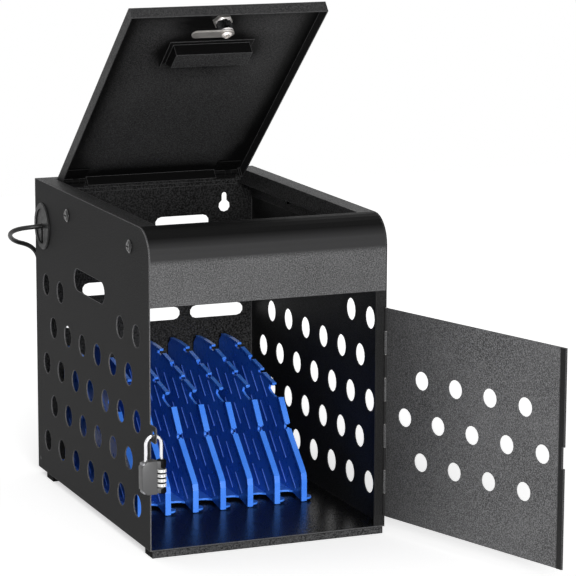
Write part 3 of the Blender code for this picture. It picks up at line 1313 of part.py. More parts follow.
def build_power(group):
    finish(strip_housing(), SATIN_BLACK, group)
    finish(strip_relief(), SATIN_BLACK, group)
    axis = axis_empty("rocker_axis", (rocker_centre(), STRIP_Y, STRIP_BOTTOM + STRIP_HEIGHT), group, None,
                      (0, ROCKER_TILT_DEGREES, 0))
    finish(strip_rocker(), SATIN_BLACK, group, axis)
    lead = tube("power_cord_lead", lead_points(), CORD_DIAMETER / 2, 2)
    finish(lead, SATIN_BLACK, group)
    finish(tube("power_cord_coil", coil_points(), CORD_DIAMETER / 2, 1), SATIN_BLACK, group)
    finish(power_cord_tie(), SATIN_BLACK, group)
    finish(power_plug_body(), SATIN_BLACK, group)
    finish(power_plug_blades(), BRASS, group)


def main():
    clear_scene()
    group = new_collection("laptop_charging_cabinet")
    build_carcass(group)
    build_lid(group)
    build_door(group)
    build_padlock(group)
    build_rack(group)
    build_power(group)


main()
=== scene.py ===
"""Looks of the laptop charging cabinet: materials, small detail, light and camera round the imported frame."""
import math

import bmesh
import bpy
from mathutils import Matrix, Vector


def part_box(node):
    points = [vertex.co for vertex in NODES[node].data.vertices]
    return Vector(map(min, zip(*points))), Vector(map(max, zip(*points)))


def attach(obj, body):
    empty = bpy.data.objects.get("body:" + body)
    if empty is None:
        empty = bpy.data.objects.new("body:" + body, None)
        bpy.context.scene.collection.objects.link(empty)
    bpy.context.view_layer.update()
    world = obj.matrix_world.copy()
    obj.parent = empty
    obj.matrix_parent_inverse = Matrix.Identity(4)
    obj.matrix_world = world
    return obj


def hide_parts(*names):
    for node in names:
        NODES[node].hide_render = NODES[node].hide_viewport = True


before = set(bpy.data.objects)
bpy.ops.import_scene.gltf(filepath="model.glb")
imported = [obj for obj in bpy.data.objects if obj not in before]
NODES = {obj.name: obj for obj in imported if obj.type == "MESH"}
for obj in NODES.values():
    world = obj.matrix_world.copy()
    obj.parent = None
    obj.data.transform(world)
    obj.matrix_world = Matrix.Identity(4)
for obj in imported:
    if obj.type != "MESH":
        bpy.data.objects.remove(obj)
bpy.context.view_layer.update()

# Places on the cabinet, in metres
LEFT, FRONT = -0.150, -0.013
GROMMET_Y, GROMMET_Z = 0.387, 0.3313
GAP = 0.0003

# Cord from the strip to the grommet
CORD = 0.006
STRIP_END, STRIP_Y, STRIP_CORD_Z = -0.081, 0.163, 0.3213
RELIEF = 0.026
CORD_BEND = 0.027
CORD_TURN_STEPS, CORD_SMOOTH_STEPS = 5, 6
CROSSING_SHARES = (0.15, 0.32, 0.5, 0.68, 0.85)

# Loop outside the grommet: its sag from point to point, then the drop behind the cabinet (in, back, down)
LOOP_OUT = 0.0075
LOOP_SAG = (0.0002, 0.0011, 0.0030, 0.0064, 0.0112, 0.0170, 0.0230, 0.0280, 0.0316)
LOOP_DROP = (
    (0.0007, 0.0003, 0.0360), (0.0064, 0.0009, 0.0420), (0.0101, 0.0018, 0.0495), (0.0118, 0.003, 0.0585),
    (0.0137, 0.0065, 0.085), (0.0175, 0.0115, 0.112), (0.0228, 0.0185, 0.143),
)

# The way down to the coil and along the floor, in cord diameters
HALFWAY_DOWN = (4.8, 13.4, -2.0)
NEAR_FLOOR = ((5.2, 14.2, 13.0), (6.4, 16.2, 6.6), (9.2, 19.6, 2.2))
ALONG_FLOOR = ((13.5, -2.2, 0.3), (18.5, -0.3, 0.0), (23.0, 0.0, 0.0))

# Coil and plug
COIL_X, COIL_Y, COIL_Z = 0.020, 0.494, 0.0048
COIL_TURNS, COIL_LAYERS, COIL_STEPS = 2, 2, 24
COIL_PITCH, COIL_MIDDLE = 0.0067, 0.0345
COIL_OUTER = COIL_MIDDLE + COIL_PITCH * COIL_TURNS / 2
LAYER_CHANGE = 0.5
PLUG_DEPTH = 0.022
TAIL_RUN = 4 * CORD

# Slanting ribs on the dividers, measured from a divider's foot
DIVIDERS = 7
WEB_HALF, BEAD_HALF, BEAD_PROUD = 0.0015, 0.0036, 0.0008
RIB_ROWS = (0.0113, 0.043, 0.076, 0.108)
RIB_FIRST, RIB_PITCH, RIB_COLUMNS = 0.0235, 0.032, 8
RIB_RUN, RIB_RISE = 0.0235, 0.0225
RIB_WIDTH, RIB_PROUD = 0.0026, 0.0010
RIB_END_SHARES = (0.53, 0.87, 1.0)
RIB_SIDES = 4

# Padlock trim
DIALS, DIGITS, DIGIT_STAGGER = 4, 10, 3
CASE_CUT, CASE_ROUND, CASE_TO_DIALS = 0.0065, 0.0009, 0.0012
BRIDGE_IN, BRIDGE_OUT, BRIDGE_SETBACK = 0.002, 0.001, 0.0015
BRIDGE_END, BRIDGE_ROUND = 0.0008, 0.0008
AXIS_HOLE = 0.0005
CAP_INSET, CAP_PAST, CAP_CLEARANCE = 0.0002, 0.0003, 0.0006
CAP_ROUND, CAP_CHAMFER = 0.0018, 0.0005
COLLAR_INNER, COLLAR_INSET, COLLAR_CLEARANCE = 0.0022, 0.0008, 0.0001
RIVET_IN, RIVET_UPPER, RIVET_LOWER = (0.0036, 0.0038), 0.0041, 0.0035
RIVET_HALF = ((0.0004, 0.0058), (0.0014, 0.0057), (0.0024, 0.0050))
DIGIT_SIZE, DIGIT_LIFT = 0.0036, 1.006
CAP_SEGMENTS, COLLAR_SEGMENTS, RIVET_SEGMENTS = 28, 24, 20
SHARP_DEGREES = 40

# Heights on the header where its rolled edge turns smooth under painted shade, then deeper painted shade
ROLL_SMOOTH_SHADE, ROLL_SHADE = (0.3475, 0.354), (0.366, 0.378)
HEADER_GLOSS = 0.20

# Painted shade and light that follow a panel's shape, and the door's dark hem
LID_SHADE_REACH, LID_RIGHT_LIGHT = 0.05, (0.12, 0.14)
DOOR_SHADE_FADE, HEM, HEM_BLEND = 0.17, 0.0098, 0.0008
FRONT_LIGHT_DEPTH, FRONT_LIGHT_BLEND = 0.0006, 0.0012
EDGE_HIGHLIGHT_RADIUS = 0.0009

# Camera, with its angles in radians
LENS, SENSOR, CLIP_END = 178.30, 36.0, 20.0
AZIMUTH, ELEVATION, ROLL = -0.3925853, 0.1913265, 0.0035028
TARGET, DISTANCE = (0, -0.068006, 0.322228), 3.282928

# Light: each lamp's level is what a white face turned to it would show
AIM = (0.0, 0.1, 0.2)
LIGHTS = (("key", (-0.58, -3.3, 0.8), 1.2, 1.0), ("top", (-0.5, 0.9, 2.7), 2.0, 0.24))
WORLD_FILL = 0.22

# Floor: the glow rises from the near level to the far one between two distances
FLOOR_SIZE = 2.6
FLOOR_NEAR, FLOOR_FAR = 0.45, 1.30
GLOW_NEAR, GLOW_FAR = 0.57, 0.80


def ease(share):
    """Smooth step from 0 to 1."""
    return share * share * (3 - 2 * share)


def catmull(points, steps):
    """A smooth line through the points."""
    padded = [points[0]] + list(points) + [points[-1]]
    line = []
    for i in range(1, len(padded) - 2):
        a, b, c, d = (Vector(padded[i + k]) for k in (-1, 0, 1, 2))
        for step in range(steps):
            t = step / steps
            line.append(0.5 * (2 * b + (c - a) * t + (2 * a - 5 * b + 4 * c - d) * t ** 2
                               + (3 * b - a - 3 * c + d) * t ** 3))
    return line + [Vector(points[-1])]


def arc(centre, radius, start, end, steps):
    """Points on an arc, between two angles in degrees."""
    angles = [math.radians(start + (end - start) * i / steps) for i in range(steps + 1)]
    return [(centre[0] + radius * math.cos(t), centre[1] + radius * math.sin(t)) for t in angles]


def strip_to_grommet():
    """Out of the strip's relief, across the shelf and out through the grommet."""
    start = STRIP_END - RELIEF - GAP - CORD
    turn = arc((start, STRIP_Y + CORD_BEND), CORD_BEND, -90, -180, CORD_TURN_STEPS)
    enter = arc((LEFT + CORD, GROMMET_Y - CORD_BEND), CORD_BEND, 0, 90, CORD_TURN_STEPS)
    route = [(x, y, STRIP_CORD_Z) for x, y in turn]
    for share in CROSSING_SHARES:
        x = turn[-1][0] + (enter[0][0] - turn[-1][0]) * ease(share)
        y = turn[-1][1] + (enter[0][1] - turn[-1][1]) * share
        route.append((x, y, STRIP_CORD_Z + (GROMMET_Z - STRIP_CORD_Z) * share))
    return route + [(x, y, GROMMET_Z) for x, y in enter]


def grommet_to_coil(far):
    """Round the cabinet's rear corner in a sagging loop, down behind it and along the floor to the coil."""
    loop = arc((LEFT - LOOP_OUT, GROMMET_Y + CORD_BEND), CORD_BEND, -90, -270, len(LOOP_SAG) - 1)
    route = [(x, y, GROMMET_Z - sag) for (x, y), sag in zip(loop, LOOP_SAG)]
    behind = GROMMET_Y + 2 * CORD_BEND
    route += [(LEFT + x, behind + y, GROMMET_Z - z) for x, y, z in LOOP_DROP]
    x, y, z = (CORD * along for along in HALFWAY_DOWN)
    route.append((LEFT + x, GROMMET_Y + y, (GROMMET_Z + COIL_Z) / 2 + z))
    route += [(LEFT + x * CORD, GROMMET_Y + y * CORD, COIL_Z + z * CORD) for x, y, z in NEAR_FLOOR]
    route += [(LEFT + x * CORD, far + y * CORD, COIL_Z + z * CORD) for x, y, z in ALONG_FLOOR]
    return route + [(COIL_X - CORD - GAP, far, COIL_Z)]


def coil_points():
    """The coil: turns inward on the floor, then outward on top of them."""
    line = []
    for k in range(COIL_LAYERS * COIL_TURNS * COIL_STEPS + 1):
        turns = k / COIL_STEPS
        radius = COIL_OUTER - COIL_PITCH * (COIL_TURNS - abs(COIL_TURNS - turns))
        climb = ease(min(max((turns - COIL_TURNS) / LAYER_CHANGE + 0.5, 0), 1))
        angle = math.pi / 2 - math.tau * turns
        line.append(Vector((COIL_X + radius * math.cos(angle), COIL_Y + radius * math.sin(angle),
                            COIL_Z + COIL_PITCH * climb)))
    return line


def cord_path():
    """The whole cord, from inside the strip's relief to inside the plug's."""
    route = strip_to_grommet() + grommet_to_coil(COIL_Y + COIL_OUTER)
    line = [Vector((STRIP_END - GAP - CORD, STRIP_Y, STRIP_CORD_Z))] + catmull(route, CORD_SMOOTH_STEPS)
    line += coil_points()
    top = line[-1]
    plug_z = PLUG_DEPTH / 2 + GAP
    tail = [(CORD, top.z), (TAIL_RUN, plug_z), (TAIL_RUN + CORD + RELIEF / 2, plug_z)]
    return line + [Vector((top.x + run, top.y, height)) for run, height in tail]


def make_camera():
    data = bpy.data.cameras.new("camera")
    data.lens = LENS
    data.sensor_width = SENSOR
    data.clip_end = CLIP_END
    camera = bpy.data.objects.new("camera", data)
    level = math.cos(ELEVATION)
    back = Vector((math.sin(AZIMUTH) * level, -math.cos(AZIMUTH) * level, math.sin(ELEVATION)))
    right = (-back).cross(Vector((0, 0, 1))).normalized()
    up = right.cross(-back)
    right, up = (math.cos(ROLL) * right + math.sin(ROLL) * up, math.cos(ROLL) * up - math.sin(ROLL) * right)
    turn = Matrix((right, up, back)).transposed().to_4x4()
    camera.matrix_world = Matrix.Translation(Vector(TARGET) + back * DISTANCE) @ turn
    bpy.context.scene.collection.objects.link(camera)
    bpy.context.scene.camera = camera


class Tree:
    """A node tree, built up with short calls."""

    def __init__(self, tree):
        self.tree = tree

    def add(self, kind, inputs=None, **settings):
        node = self.tree.nodes.new(kind)
        for key, value in settings.items():
            setattr(node, key, value)
        for key, value in (inputs or {}).items():
            self.feed(node.inputs[key], value)
        return node

    def feed(self, socket, value):
        if isinstance(value, bpy.types.NodeSocket):
            self.tree.links.new(value, socket)
        else:
            socket.default_value = value

    def spread(self, value, low, high, to_low=0.0, to_high=1.0):
        return self.add("ShaderNodeMapRange", {"Value": value, "From Min": low, "From Max": high,
                                               "To Min": to_low, "To Max": to_high}).outputs["Result"]

    def math(self, operation, a, b=0.0):
        return self.add("ShaderNodeMath", {0: a, 1: b}, operation=operation).outputs[0]

    def seen_rays(self):
        """1 for rays that show the surface itself: from the camera, a reflection or through glass."""
        rays = self.add("ShaderNodeLightPath").outputs
        seen = self.math("MAXIMUM", rays["Is Camera Ray"], rays["Is Glossy Ray"])
        return self.math("MAXIMUM", seen, rays["Is Transmission Ray"])


class Paint(Tree):
    """A new material's node tree, with its shader and the object's own coordinates."""

    def __init__(self, name):
        self.material = bpy.data.materials.new(name)
        self.material.use_nodes = True
        super().__init__(self.material.node_tree)
        self.shader = self.tree.nodes["Principled BSDF"]
        self.coords = self.add("ShaderNodeTexCoord").outputs["Object"]

    def set(self, **values):
        for key, value in values.items():
            self.feed(self.shader.inputs[key.replace("_", " ")], value)

    def axis(self, name):
        """One coordinate of the place on the object."""
        return self.add("ShaderNodeSeparateXYZ", {"Vector": self.coords}).outputs[name]

    def facing(self, name):
        """How far the surface faces along one of the object's axes, from -1 to 1."""
        normal = self.add("ShaderNodeTexCoord").outputs["Normal"]
        return self.add("ShaderNodeSeparateXYZ", {"Vector": normal}).outputs[name]

    def dot(self, a, b):
        return self.add("ShaderNodeVectorMath", {0: a, 1: b}, operation="DOT_PRODUCT").outputs["Value"]

    def noise(self, scale, detail=2.0, roughness=0.5, coords=None):
        inputs = {"Vector": coords or self.coords, "Scale": scale, "Detail": detail, "Roughness": roughness}
        return self.add("ShaderNodeTexNoise", inputs).outputs["Fac"]

    def mix(self, factor, a, b):
        node = self.add("ShaderNodeMix", data_type="RGBA", blend_type="MIX")
        for socket, value in ((0, factor), (6, a), (7, b)):
            self.feed(node.inputs[socket], value)
        return node.outputs[2]

    def rounded(self, radius, samples):
        return self.add("ShaderNodeBevel", {"Radius": radius}, samples=samples).outputs[0]

    def bump(self, height, strength, distance, radius=0.0005):
        node = self.add("ShaderNodeBump", {"Height": height, "Strength": strength, "Distance": distance})
        if radius:
            self.feed(node.inputs["Normal"], self.rounded(radius, samples=4))
        self.set(Normal=node.outputs[0])


def grey(level):
    return (level, level, level * 1.02, 1.0)


def darker(colour, share):
    return (*[level * share for level in colour[:3]], 1.0)


def powder_coat(name, dark, light, roughness=0.50, grain=640.0, strength=0.5, gloss=0.5, edge=0.12,
                detail=None):
    """Textured powder coat with grains that catch light, and a painted highlight along its edges in the edge
    tone.

    A detail function adds one panel's painted light and shade and its other marks, and gives back its colour
    and the height of its grains.
    """
    n = Paint(name)
    n.set(Specular_IOR_Level=gloss)
    grains = n.noise(grain, detail=3.0, roughness=0.65)
    colour = n.mix(n.spread(grains, 0.43, 0.61), grey(dark), grey(light))
    colour = n.mix(n.spread(n.noise(14.0), 0.35, 0.7, to_high=0.2), colour, grey(light))
    height = grains
    if detail:
        colour, height = detail(n, colour, grains)
    # Painted highlight: a paler tone where the surface rounds over an edge
    flat = n.add("ShaderNodeNewGeometry").outputs["Normal"]
    flatness = n.dot(n.rounded(EDGE_HIGHLIGHT_RADIUS, samples=6), flat)
    colour = n.mix(n.spread(flatness, 0.99, 0.90), colour, grey(edge))
    n.set(Base_Color=colour, Roughness=n.spread(grains, 0.3, 0.7, roughness + 0.08, roughness - 0.08))
    n.bump(height, strength, distance=0.0009)
    return n.material


def rolled_edge(n, colour, grains):
    """The header's rolled top edge: smooth with painted shade, then deeper painted shade towards its crest."""
    height = n.axis("Z")
    rolled = n.spread(height, *ROLL_SMOOTH_SHADE)
    # Painted shade: a flat dark tone over the roll, then near black towards its crest
    colour = n.mix(rolled, colour, grey(0.030))
    colour = n.mix(n.spread(height, *ROLL_SHADE), colour, grey(0.002))
    n.set(Specular_IOR_Level=n.spread(rolled, 0.0, 1.0, HEADER_GLOSS, HEADER_GLOSS * 0.3))
    return colour, n.math("MULTIPLY", grains, n.math("SUBTRACT", 1.0, n.math("MULTIPLY", rolled, 0.8)))


def lid_tones(n, colour, grains):
    """Painted shade in the lid's corners and recesses, and painted light on the inner face of its right
    flange.
    """
    # Painted shade: near black where the lid's corners and the pull cup close in
    openness = n.add("ShaderNodeAmbientOcclusion", {"Distance": LID_SHADE_REACH}, samples=8).outputs["AO"]
    colour = n.mix(n.spread(openness, 0.88, 0.99), grey(0.002), colour)
    # Painted light on the inner face of the right flange
    flange_light = n.math("MULTIPLY", n.spread(n.facing("X"), -0.6, -0.9), n.spread(n.axis("X"), *LID_RIGHT_LIGHT))
    return n.mix(flange_light, colour, grey(0.060)), grains


def door_tones(n, colour, grains):
    """Painted shade near the door's hinge, and a dark hem at its free edge."""
    low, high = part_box("door_panel")
    hinge, free = Vector((low.x, high.y, 0)), Vector((high.x, low.y, 0))
    way = (free - hinge).normalized()
    along = n.dot(n.coords, tuple(way))
    start = way.dot(hinge)
    hem = start + (free - hinge).length - HEM
    # Painted shade fading out from the hinge
    colour = n.mix(n.spread(along, start, start + DOOR_SHADE_FADE, 0.62, 0.0), colour, grey(0.006))
    return n.mix(n.spread(along, hem, hem + HEM_BLEND), colour, grey(0.004)), grains


def front_edge(n, colour, grains):
    """Painted light, speckled, on the front face of a panel that ends at the cabinet's front."""
    # Painted light: a paler speckled tone on the faces at the cabinet's front
    at_front = n.spread(n.axis("Y"), FRONT + FRONT_LIGHT_BLEND, FRONT + FRONT_LIGHT_DEPTH)
    return n.mix(n.math("MULTIPLY", at_front, n.spread(grains, 0.36, 0.60)), colour, grey(0.085)), grains


def moulded(name, colour, roughness, grain=900.0, strength=0.08, gloss=0.5, radius=0.0006):
    """Moulded plastic with a faint skin texture and slight unevenness in tone."""
    n = Paint(name)
    n.set(Base_Color=n.mix(n.spread(n.noise(30.0), 0.3, 0.7), darker(colour, 0.8), colour),
          Roughness=n.spread(n.noise(200.0), 0.3, 0.7, roughness - 0.05, roughness + 0.07),
          Specular_IOR_Level=gloss)
    n.bump(n.noise(grain), strength, distance=0.0003, radius=radius)
    return n.material


def metal(name, colour, roughness, brushed=False):
    """Plated or cast metal with fine scratches and smudges."""
    n = Paint(name)
    stretch = n.add("ShaderNodeMapping", {"Vector": n.coords, "Scale": (1.0, 1.0, 0.05 if brushed else 1.0)})
    scratches = n.noise(1800.0, detail=3.0, coords=stretch.outputs[0])
    smudge = n.noise(120.0, detail=4.0)
    n.set(Base_Color=n.mix(n.spread(smudge, 0.4, 0.8, to_high=0.3), colour, darker(colour, 0.7)),
          Roughness=n.spread(smudge, 0.3, 0.75, roughness, roughness + 0.15), Metallic=1.0)
    n.bump(scratches, 0.25 if brushed else 0.05, distance=0.0001, radius=0.0003)
    return n.material


def rack_plastic(name, shaded_low, shaded_high, lit_low, lit_high):
    """Glossy blue plastic with slight unevenness in tone, with painted shade on faces turned sideways and
    painted light on the rest.
    """
    n = Paint(name)
    tone = n.spread(n.noise(18.0), 0.3, 0.7)
    shaded_web = n.mix(tone, (*shaded_low, 1.0), (*shaded_high, 1.0))
    lit_bead = n.mix(tone, (*lit_low, 1.0), (*lit_high, 1.0))
    # Painted shade on faces turned sideways, painted light on the beads' fronts and tops
    sideways = n.math("ABSOLUTE", n.facing("X"))
    n.set(Base_Color=n.mix(n.spread(sideways, 0.97, 0.55), shaded_web, lit_bead),
          Roughness=n.spread(n.noise(90.0), 0.3, 0.7, 0.24, 0.34), Specular_IOR_Level=0.5)
    n.bump(n.noise(700.0), 0.05, distance=0.0003, radius=0.0008)
    return n.material


def dial_paint(name):
    """White dial with a black band at each rim."""
    low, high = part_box(name)
    half = (high.z - low.z) / 2
    n = Paint(name + "_white")
    away = n.math("ABSOLUTE", n.math("SUBTRACT", n.axis("Z"), (low.z + high.z) / 2))
    n.set(Base_Color=n.mix(n.spread(away, half * 0.74, half * 0.80), (0.82, 0.82, 0.80, 1.0), grey(0.006)),
          Roughness=n.spread(n.noise(200.0), 0.3, 0.7, 0.35, 0.47))
    n.bump(n.noise(900.0), 0.05, distance=0.0003, radius=0.0004)
    return n.material


# Lit and shaded copies of one powder coat: COAT is its plain tone, the door's copy is a little lighter and the
# header's darker.
# The far darker copies for the lid, sides, inner panels, rails, floor, feet and hinges are painted shade.
COAT = powder_coat("powder_coat", 0.038, 0.175, grain=700.0, strength=0.8, gloss=0.25)
COAT_DOOR = powder_coat("powder_coat_door", 0.038, 0.200, grain=700.0, strength=0.8, gloss=0.25,
                        detail=door_tones)
COAT_HEADER = powder_coat("powder_coat_header", 0.030, 0.132, grain=700.0, strength=0.8, gloss=HEADER_GLOSS,
                          detail=rolled_edge)
COAT_LID_SHADED = powder_coat("powder_coat_lid_shaded", 0.012, 0.047, strength=0.3, gloss=0.12, edge=0.10, detail=lid_tones)
COAT_LEFT_SHADED = powder_coat("powder_coat_side_shaded", 0.010, 0.022, 0.60, strength=0.25, gloss=0.05, edge=0.30)
COAT_RIGHT_SHADED = powder_coat("powder_coat_right_shaded", 0.003, 0.016, strength=0.2, gloss=0.12, edge=0.03)
COAT_DARK_SHADED = powder_coat("powder_coat_dark_shaded", 0.0005, 0.036, grain=440.0, strength=0.9, gloss=0.10)
COAT_FLOOR_SHADED = powder_coat("powder_coat_floor_shaded", 0.002, 0.010, 0.27, strength=0.12, gloss=0.21,
                         detail=front_edge)
COAT_FOOT_SHADED = powder_coat("powder_coat_foot_shaded", 0.001, 0.004, 0.60, gloss=0.02, edge=0.02, detail=front_edge)
COAT_RAIL_SHADED = powder_coat("powder_coat_rail_shaded", 0.006, 0.060, gloss=0.15)
COAT_HINGE_SHADED = powder_coat("powder_coat_hinge_shaded", 0.001, 0.005, 0.55, gloss=0.05, edge=0.02)
CAP = moulded("cap_black", grey(0.003), 0.5, gloss=0.05)
SCREW = moulded("screw_black", grey(0.006), 0.14, strength=0.02)
PLASTIC = moulded("black_plastic", grey(0.009), 0.42, strength=0.2, gloss=0.16)
JACKET = moulded("cord_jacket", grey(0.006), 0.36, radius=0.0, gloss=0.3)
INK = moulded("dial_ink", grey(0.012), 0.5)
GREY = moulded("padlock_grey", grey(0.070), 0.42, gloss=0.4)
STRAP = moulded("strap", (0.02, 0.02, 0.02, 1.0), 0.8, grain=2500.0, strength=0.6, gloss=0.2)
CHROME = metal("chrome", (0.78, 0.78, 0.80, 1.0), 0.12)
ZINC = metal("zinc", (0.74, 0.71, 0.68, 1.0), 0.42, brushed=True)
RIVET = metal("rivet", (0.22, 0.22, 0.23, 1.0), 0.42)
BRASS = metal("brass", (0.70, 0.50, 0.20, 1.0), 0.25)
BLUE = rack_plastic("rack_blue", (0.012, 0.092, 0.54), (0.022, 0.135, 0.68),
                    (0.048, 0.222, 0.90), (0.080, 0.290, 1.0))
# Painted highlight: the ribs in a paler blue than the webs they stand on
RIB_LIT = rack_plastic("rack_rib", (0.040, 0.130, 0.55), (0.050, 0.150, 0.62),
                   (0.060, 0.150, 0.60), (0.090, 0.190, 0.68))

PAINTED = (
    (COAT_DOOR, "door_panel"),
    (COAT_HEADER, "front_header"),
    (COAT_LID_SHADED, "lid_panel", "lid_pull_cup"),
    (COAT_LEFT_SHADED, "left_side_panel"),
    (COAT_RIGHT_SHADED, "right_side_panel", "door_hinge_leaf"),
    (COAT_DARK_SHADED, "rear_panel", "shelf_panel", "left_top_rail", "rear_top_rail"),
    (COAT_RAIL_SHADED, "right_top_rail"),
    (COAT_FLOOR_SHADED, "base_panel"),
    (COAT_FOOT_SHADED, "front_foot_rail", "rear_foot_rail"),
    (CHROME, "lock_barrel", "lock_plug", "padlock_shackle"),
    (ZINC, "lock_nut", "lock_cam", "lock_cam_screw", "door_hinge_pin", "lid_hinge_pin_left",
     "lid_hinge_pin_right"),
    (GREY, "padlock_body"),
    (BRASS, "padlock_spindle", "power_plug_blades"),
    (STRAP, "power_cord_tie"),
    (BLUE, "rack_base"),
)
PREFIXES = (("screw_", SCREW), ("grommet", PLASTIC), ("strip_", PLASTIC), ("power_", JACKET),
            ("rack_divider", BLUE), ("lid_hinge", COAT_HINGE_SHADED))


def paint_nodes():
    paints = {name: paint for paint, *names in PAINTED for name in names}
    for name, item in NODES.items():
        by_prefix = [paint for prefix, paint in PREFIXES if name.startswith(prefix)]
        paint = paints.get(name) or (by_prefix + [COAT])[0]
        if name.startswith("padlock_dial"):
            paint = dial_paint(name)
        item.data.materials.clear()
        item.data.materials.append(paint)


def new_object(name, data, body, paint):
    item = bpy.data.objects.new(name, data)
    bpy.context.scene.collection.objects.link(item)
    data.materials.append(paint)
    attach(item, body)
    return item


def make_cord():
    """One tube for the whole cord."""
    points = cord_path()
    curve = bpy.data.curves.new("power_cord", "CURVE")
    curve.dimensions = "3D"
    curve.bevel_depth = CORD / 2
    curve.bevel_resolution = 4
    curve.use_fill_caps = True
    spline = curve.splines.new("POLY")
    spline.points.add(len(points) - 1)
    for point, co in zip(spline.points, points):
        point.co = (*co, 1)
    spline.use_smooth = True
    cord = new_object("power_cord", curve, "cabinet", JACKET)
    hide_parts("power_cord_lead", "power_cord_coil")


def finish_mesh(name, build, body, paint):
    """A piece whose mesh is filled by a function."""
    mesh = bpy.data.meshes.new(name)
    bm = bmesh.new()
    build(bm)
    bmesh.ops.recalc_face_normals(bm, faces=bm.faces)
    bm.to_mesh(mesh)
    bm.free()
    mesh.shade_smooth()
    mesh.set_sharp_from_angle(angle=math.radians(SHARP_DEGREES))
    return new_object(name, mesh, body, paint)


def half_round(bm, start, run, out, width, proud):
    """A bar of half-round section with round ends, lying on a face."""
    length = run.length
    run = run.normalized()
    across = run.cross(out).normalized()
    radius = width / 2
    ends = [(radius * (1 - math.sqrt(1 - share * share)), share) for share in RIB_END_SHARES]
    rings = []
    for along, share in ends + [(length - along, share) for along, share in reversed(ends)]:
        ring = []
        for i in range(RIB_SIDES + 1):
            angle = math.pi * i / RIB_SIDES
            point = start + run * along + across * (radius * share * math.cos(angle))
            ring.append(bm.verts.new(point + out * (proud * share * math.sin(angle))))
        rings.append(ring)
    for a, b in zip(rings, rings[1:]):
        for i in range(RIB_SIDES):
            bm.faces.new((a[i], a[i + 1], b[i + 1], b[i]))
    for ring, tip in ((rings[0], start), (rings[-1], start + run * length)):
        end = bm.verts.new(tip)
        for i in range(RIB_SIDES):
            bm.faces.new((ring[i], ring[i + 1], end))


def make_ribs():
    """Slanting ribs in rows on both faces of each divider."""
    for number in range(1, DIVIDERS + 1):
        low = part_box("rack_divider_%d" % number)[0]
        centre, foot = low.x + BEAD_HALF, low.y + BEAD_PROUD

        def build(bm):
            for side in (-1, 1):
                for row, up in enumerate(RIB_ROWS):
                    for column in range(row, RIB_COLUMNS):
                        along = foot + RIB_FIRST + column * RIB_PITCH
                        start = Vector((centre + side * WEB_HALF, along, low.z + up))
                        half_round(bm, start, Vector((0, RIB_RUN, RIB_RISE)), Vector((side, 0, 0)),
                                   RIB_WIDTH, RIB_PROUD)

        finish_mesh("rack_ribs_%d" % number, build, "cabinet", RIB_LIT)


def lathe(bm, profile, centre, segments, axis="Z"):
    """A closed turned ring about an axis through the centre; the profile holds (radius, along) points."""
    rings = []
    for i in range(segments):
        c, s = math.cos(math.tau * i / segments), math.sin(math.tau * i / segments)
        ring = []
        for radius, along in profile:
            place = {"Z": (radius * c, radius * s, along), "Y": (radius * c, along, radius * s)}[axis]
            ring.append(bm.verts.new(Vector(centre) + Vector(place)))
        rings.append(ring)
    count = len(profile)
    for i in range(segments):
        a, b = rings[i], rings[(i + 1) % segments]
        for k in range(count):
            bm.faces.new((a[k], a[(k + 1) % count], b[(k + 1) % count], b[k]))


def bevelled_box(bm, low, high, radius, segments=2):
    start = set(bm.verts)
    made = bmesh.ops.create_cube(bm, size=1.0)["verts"]
    low, high = Vector(low), Vector(high)
    for vert in made:
        vert.co = Vector([low[i] + (vert.co[i] + 0.5) * (high[i] - low[i]) for i in range(3)])
    edges = [e for e in bm.edges if e.verts[0] not in start and e.verts[1] not in start]
    bmesh.ops.bevel(bm, geom=edges, offset=radius, segments=segments, affect="EDGES", profile=0.5)


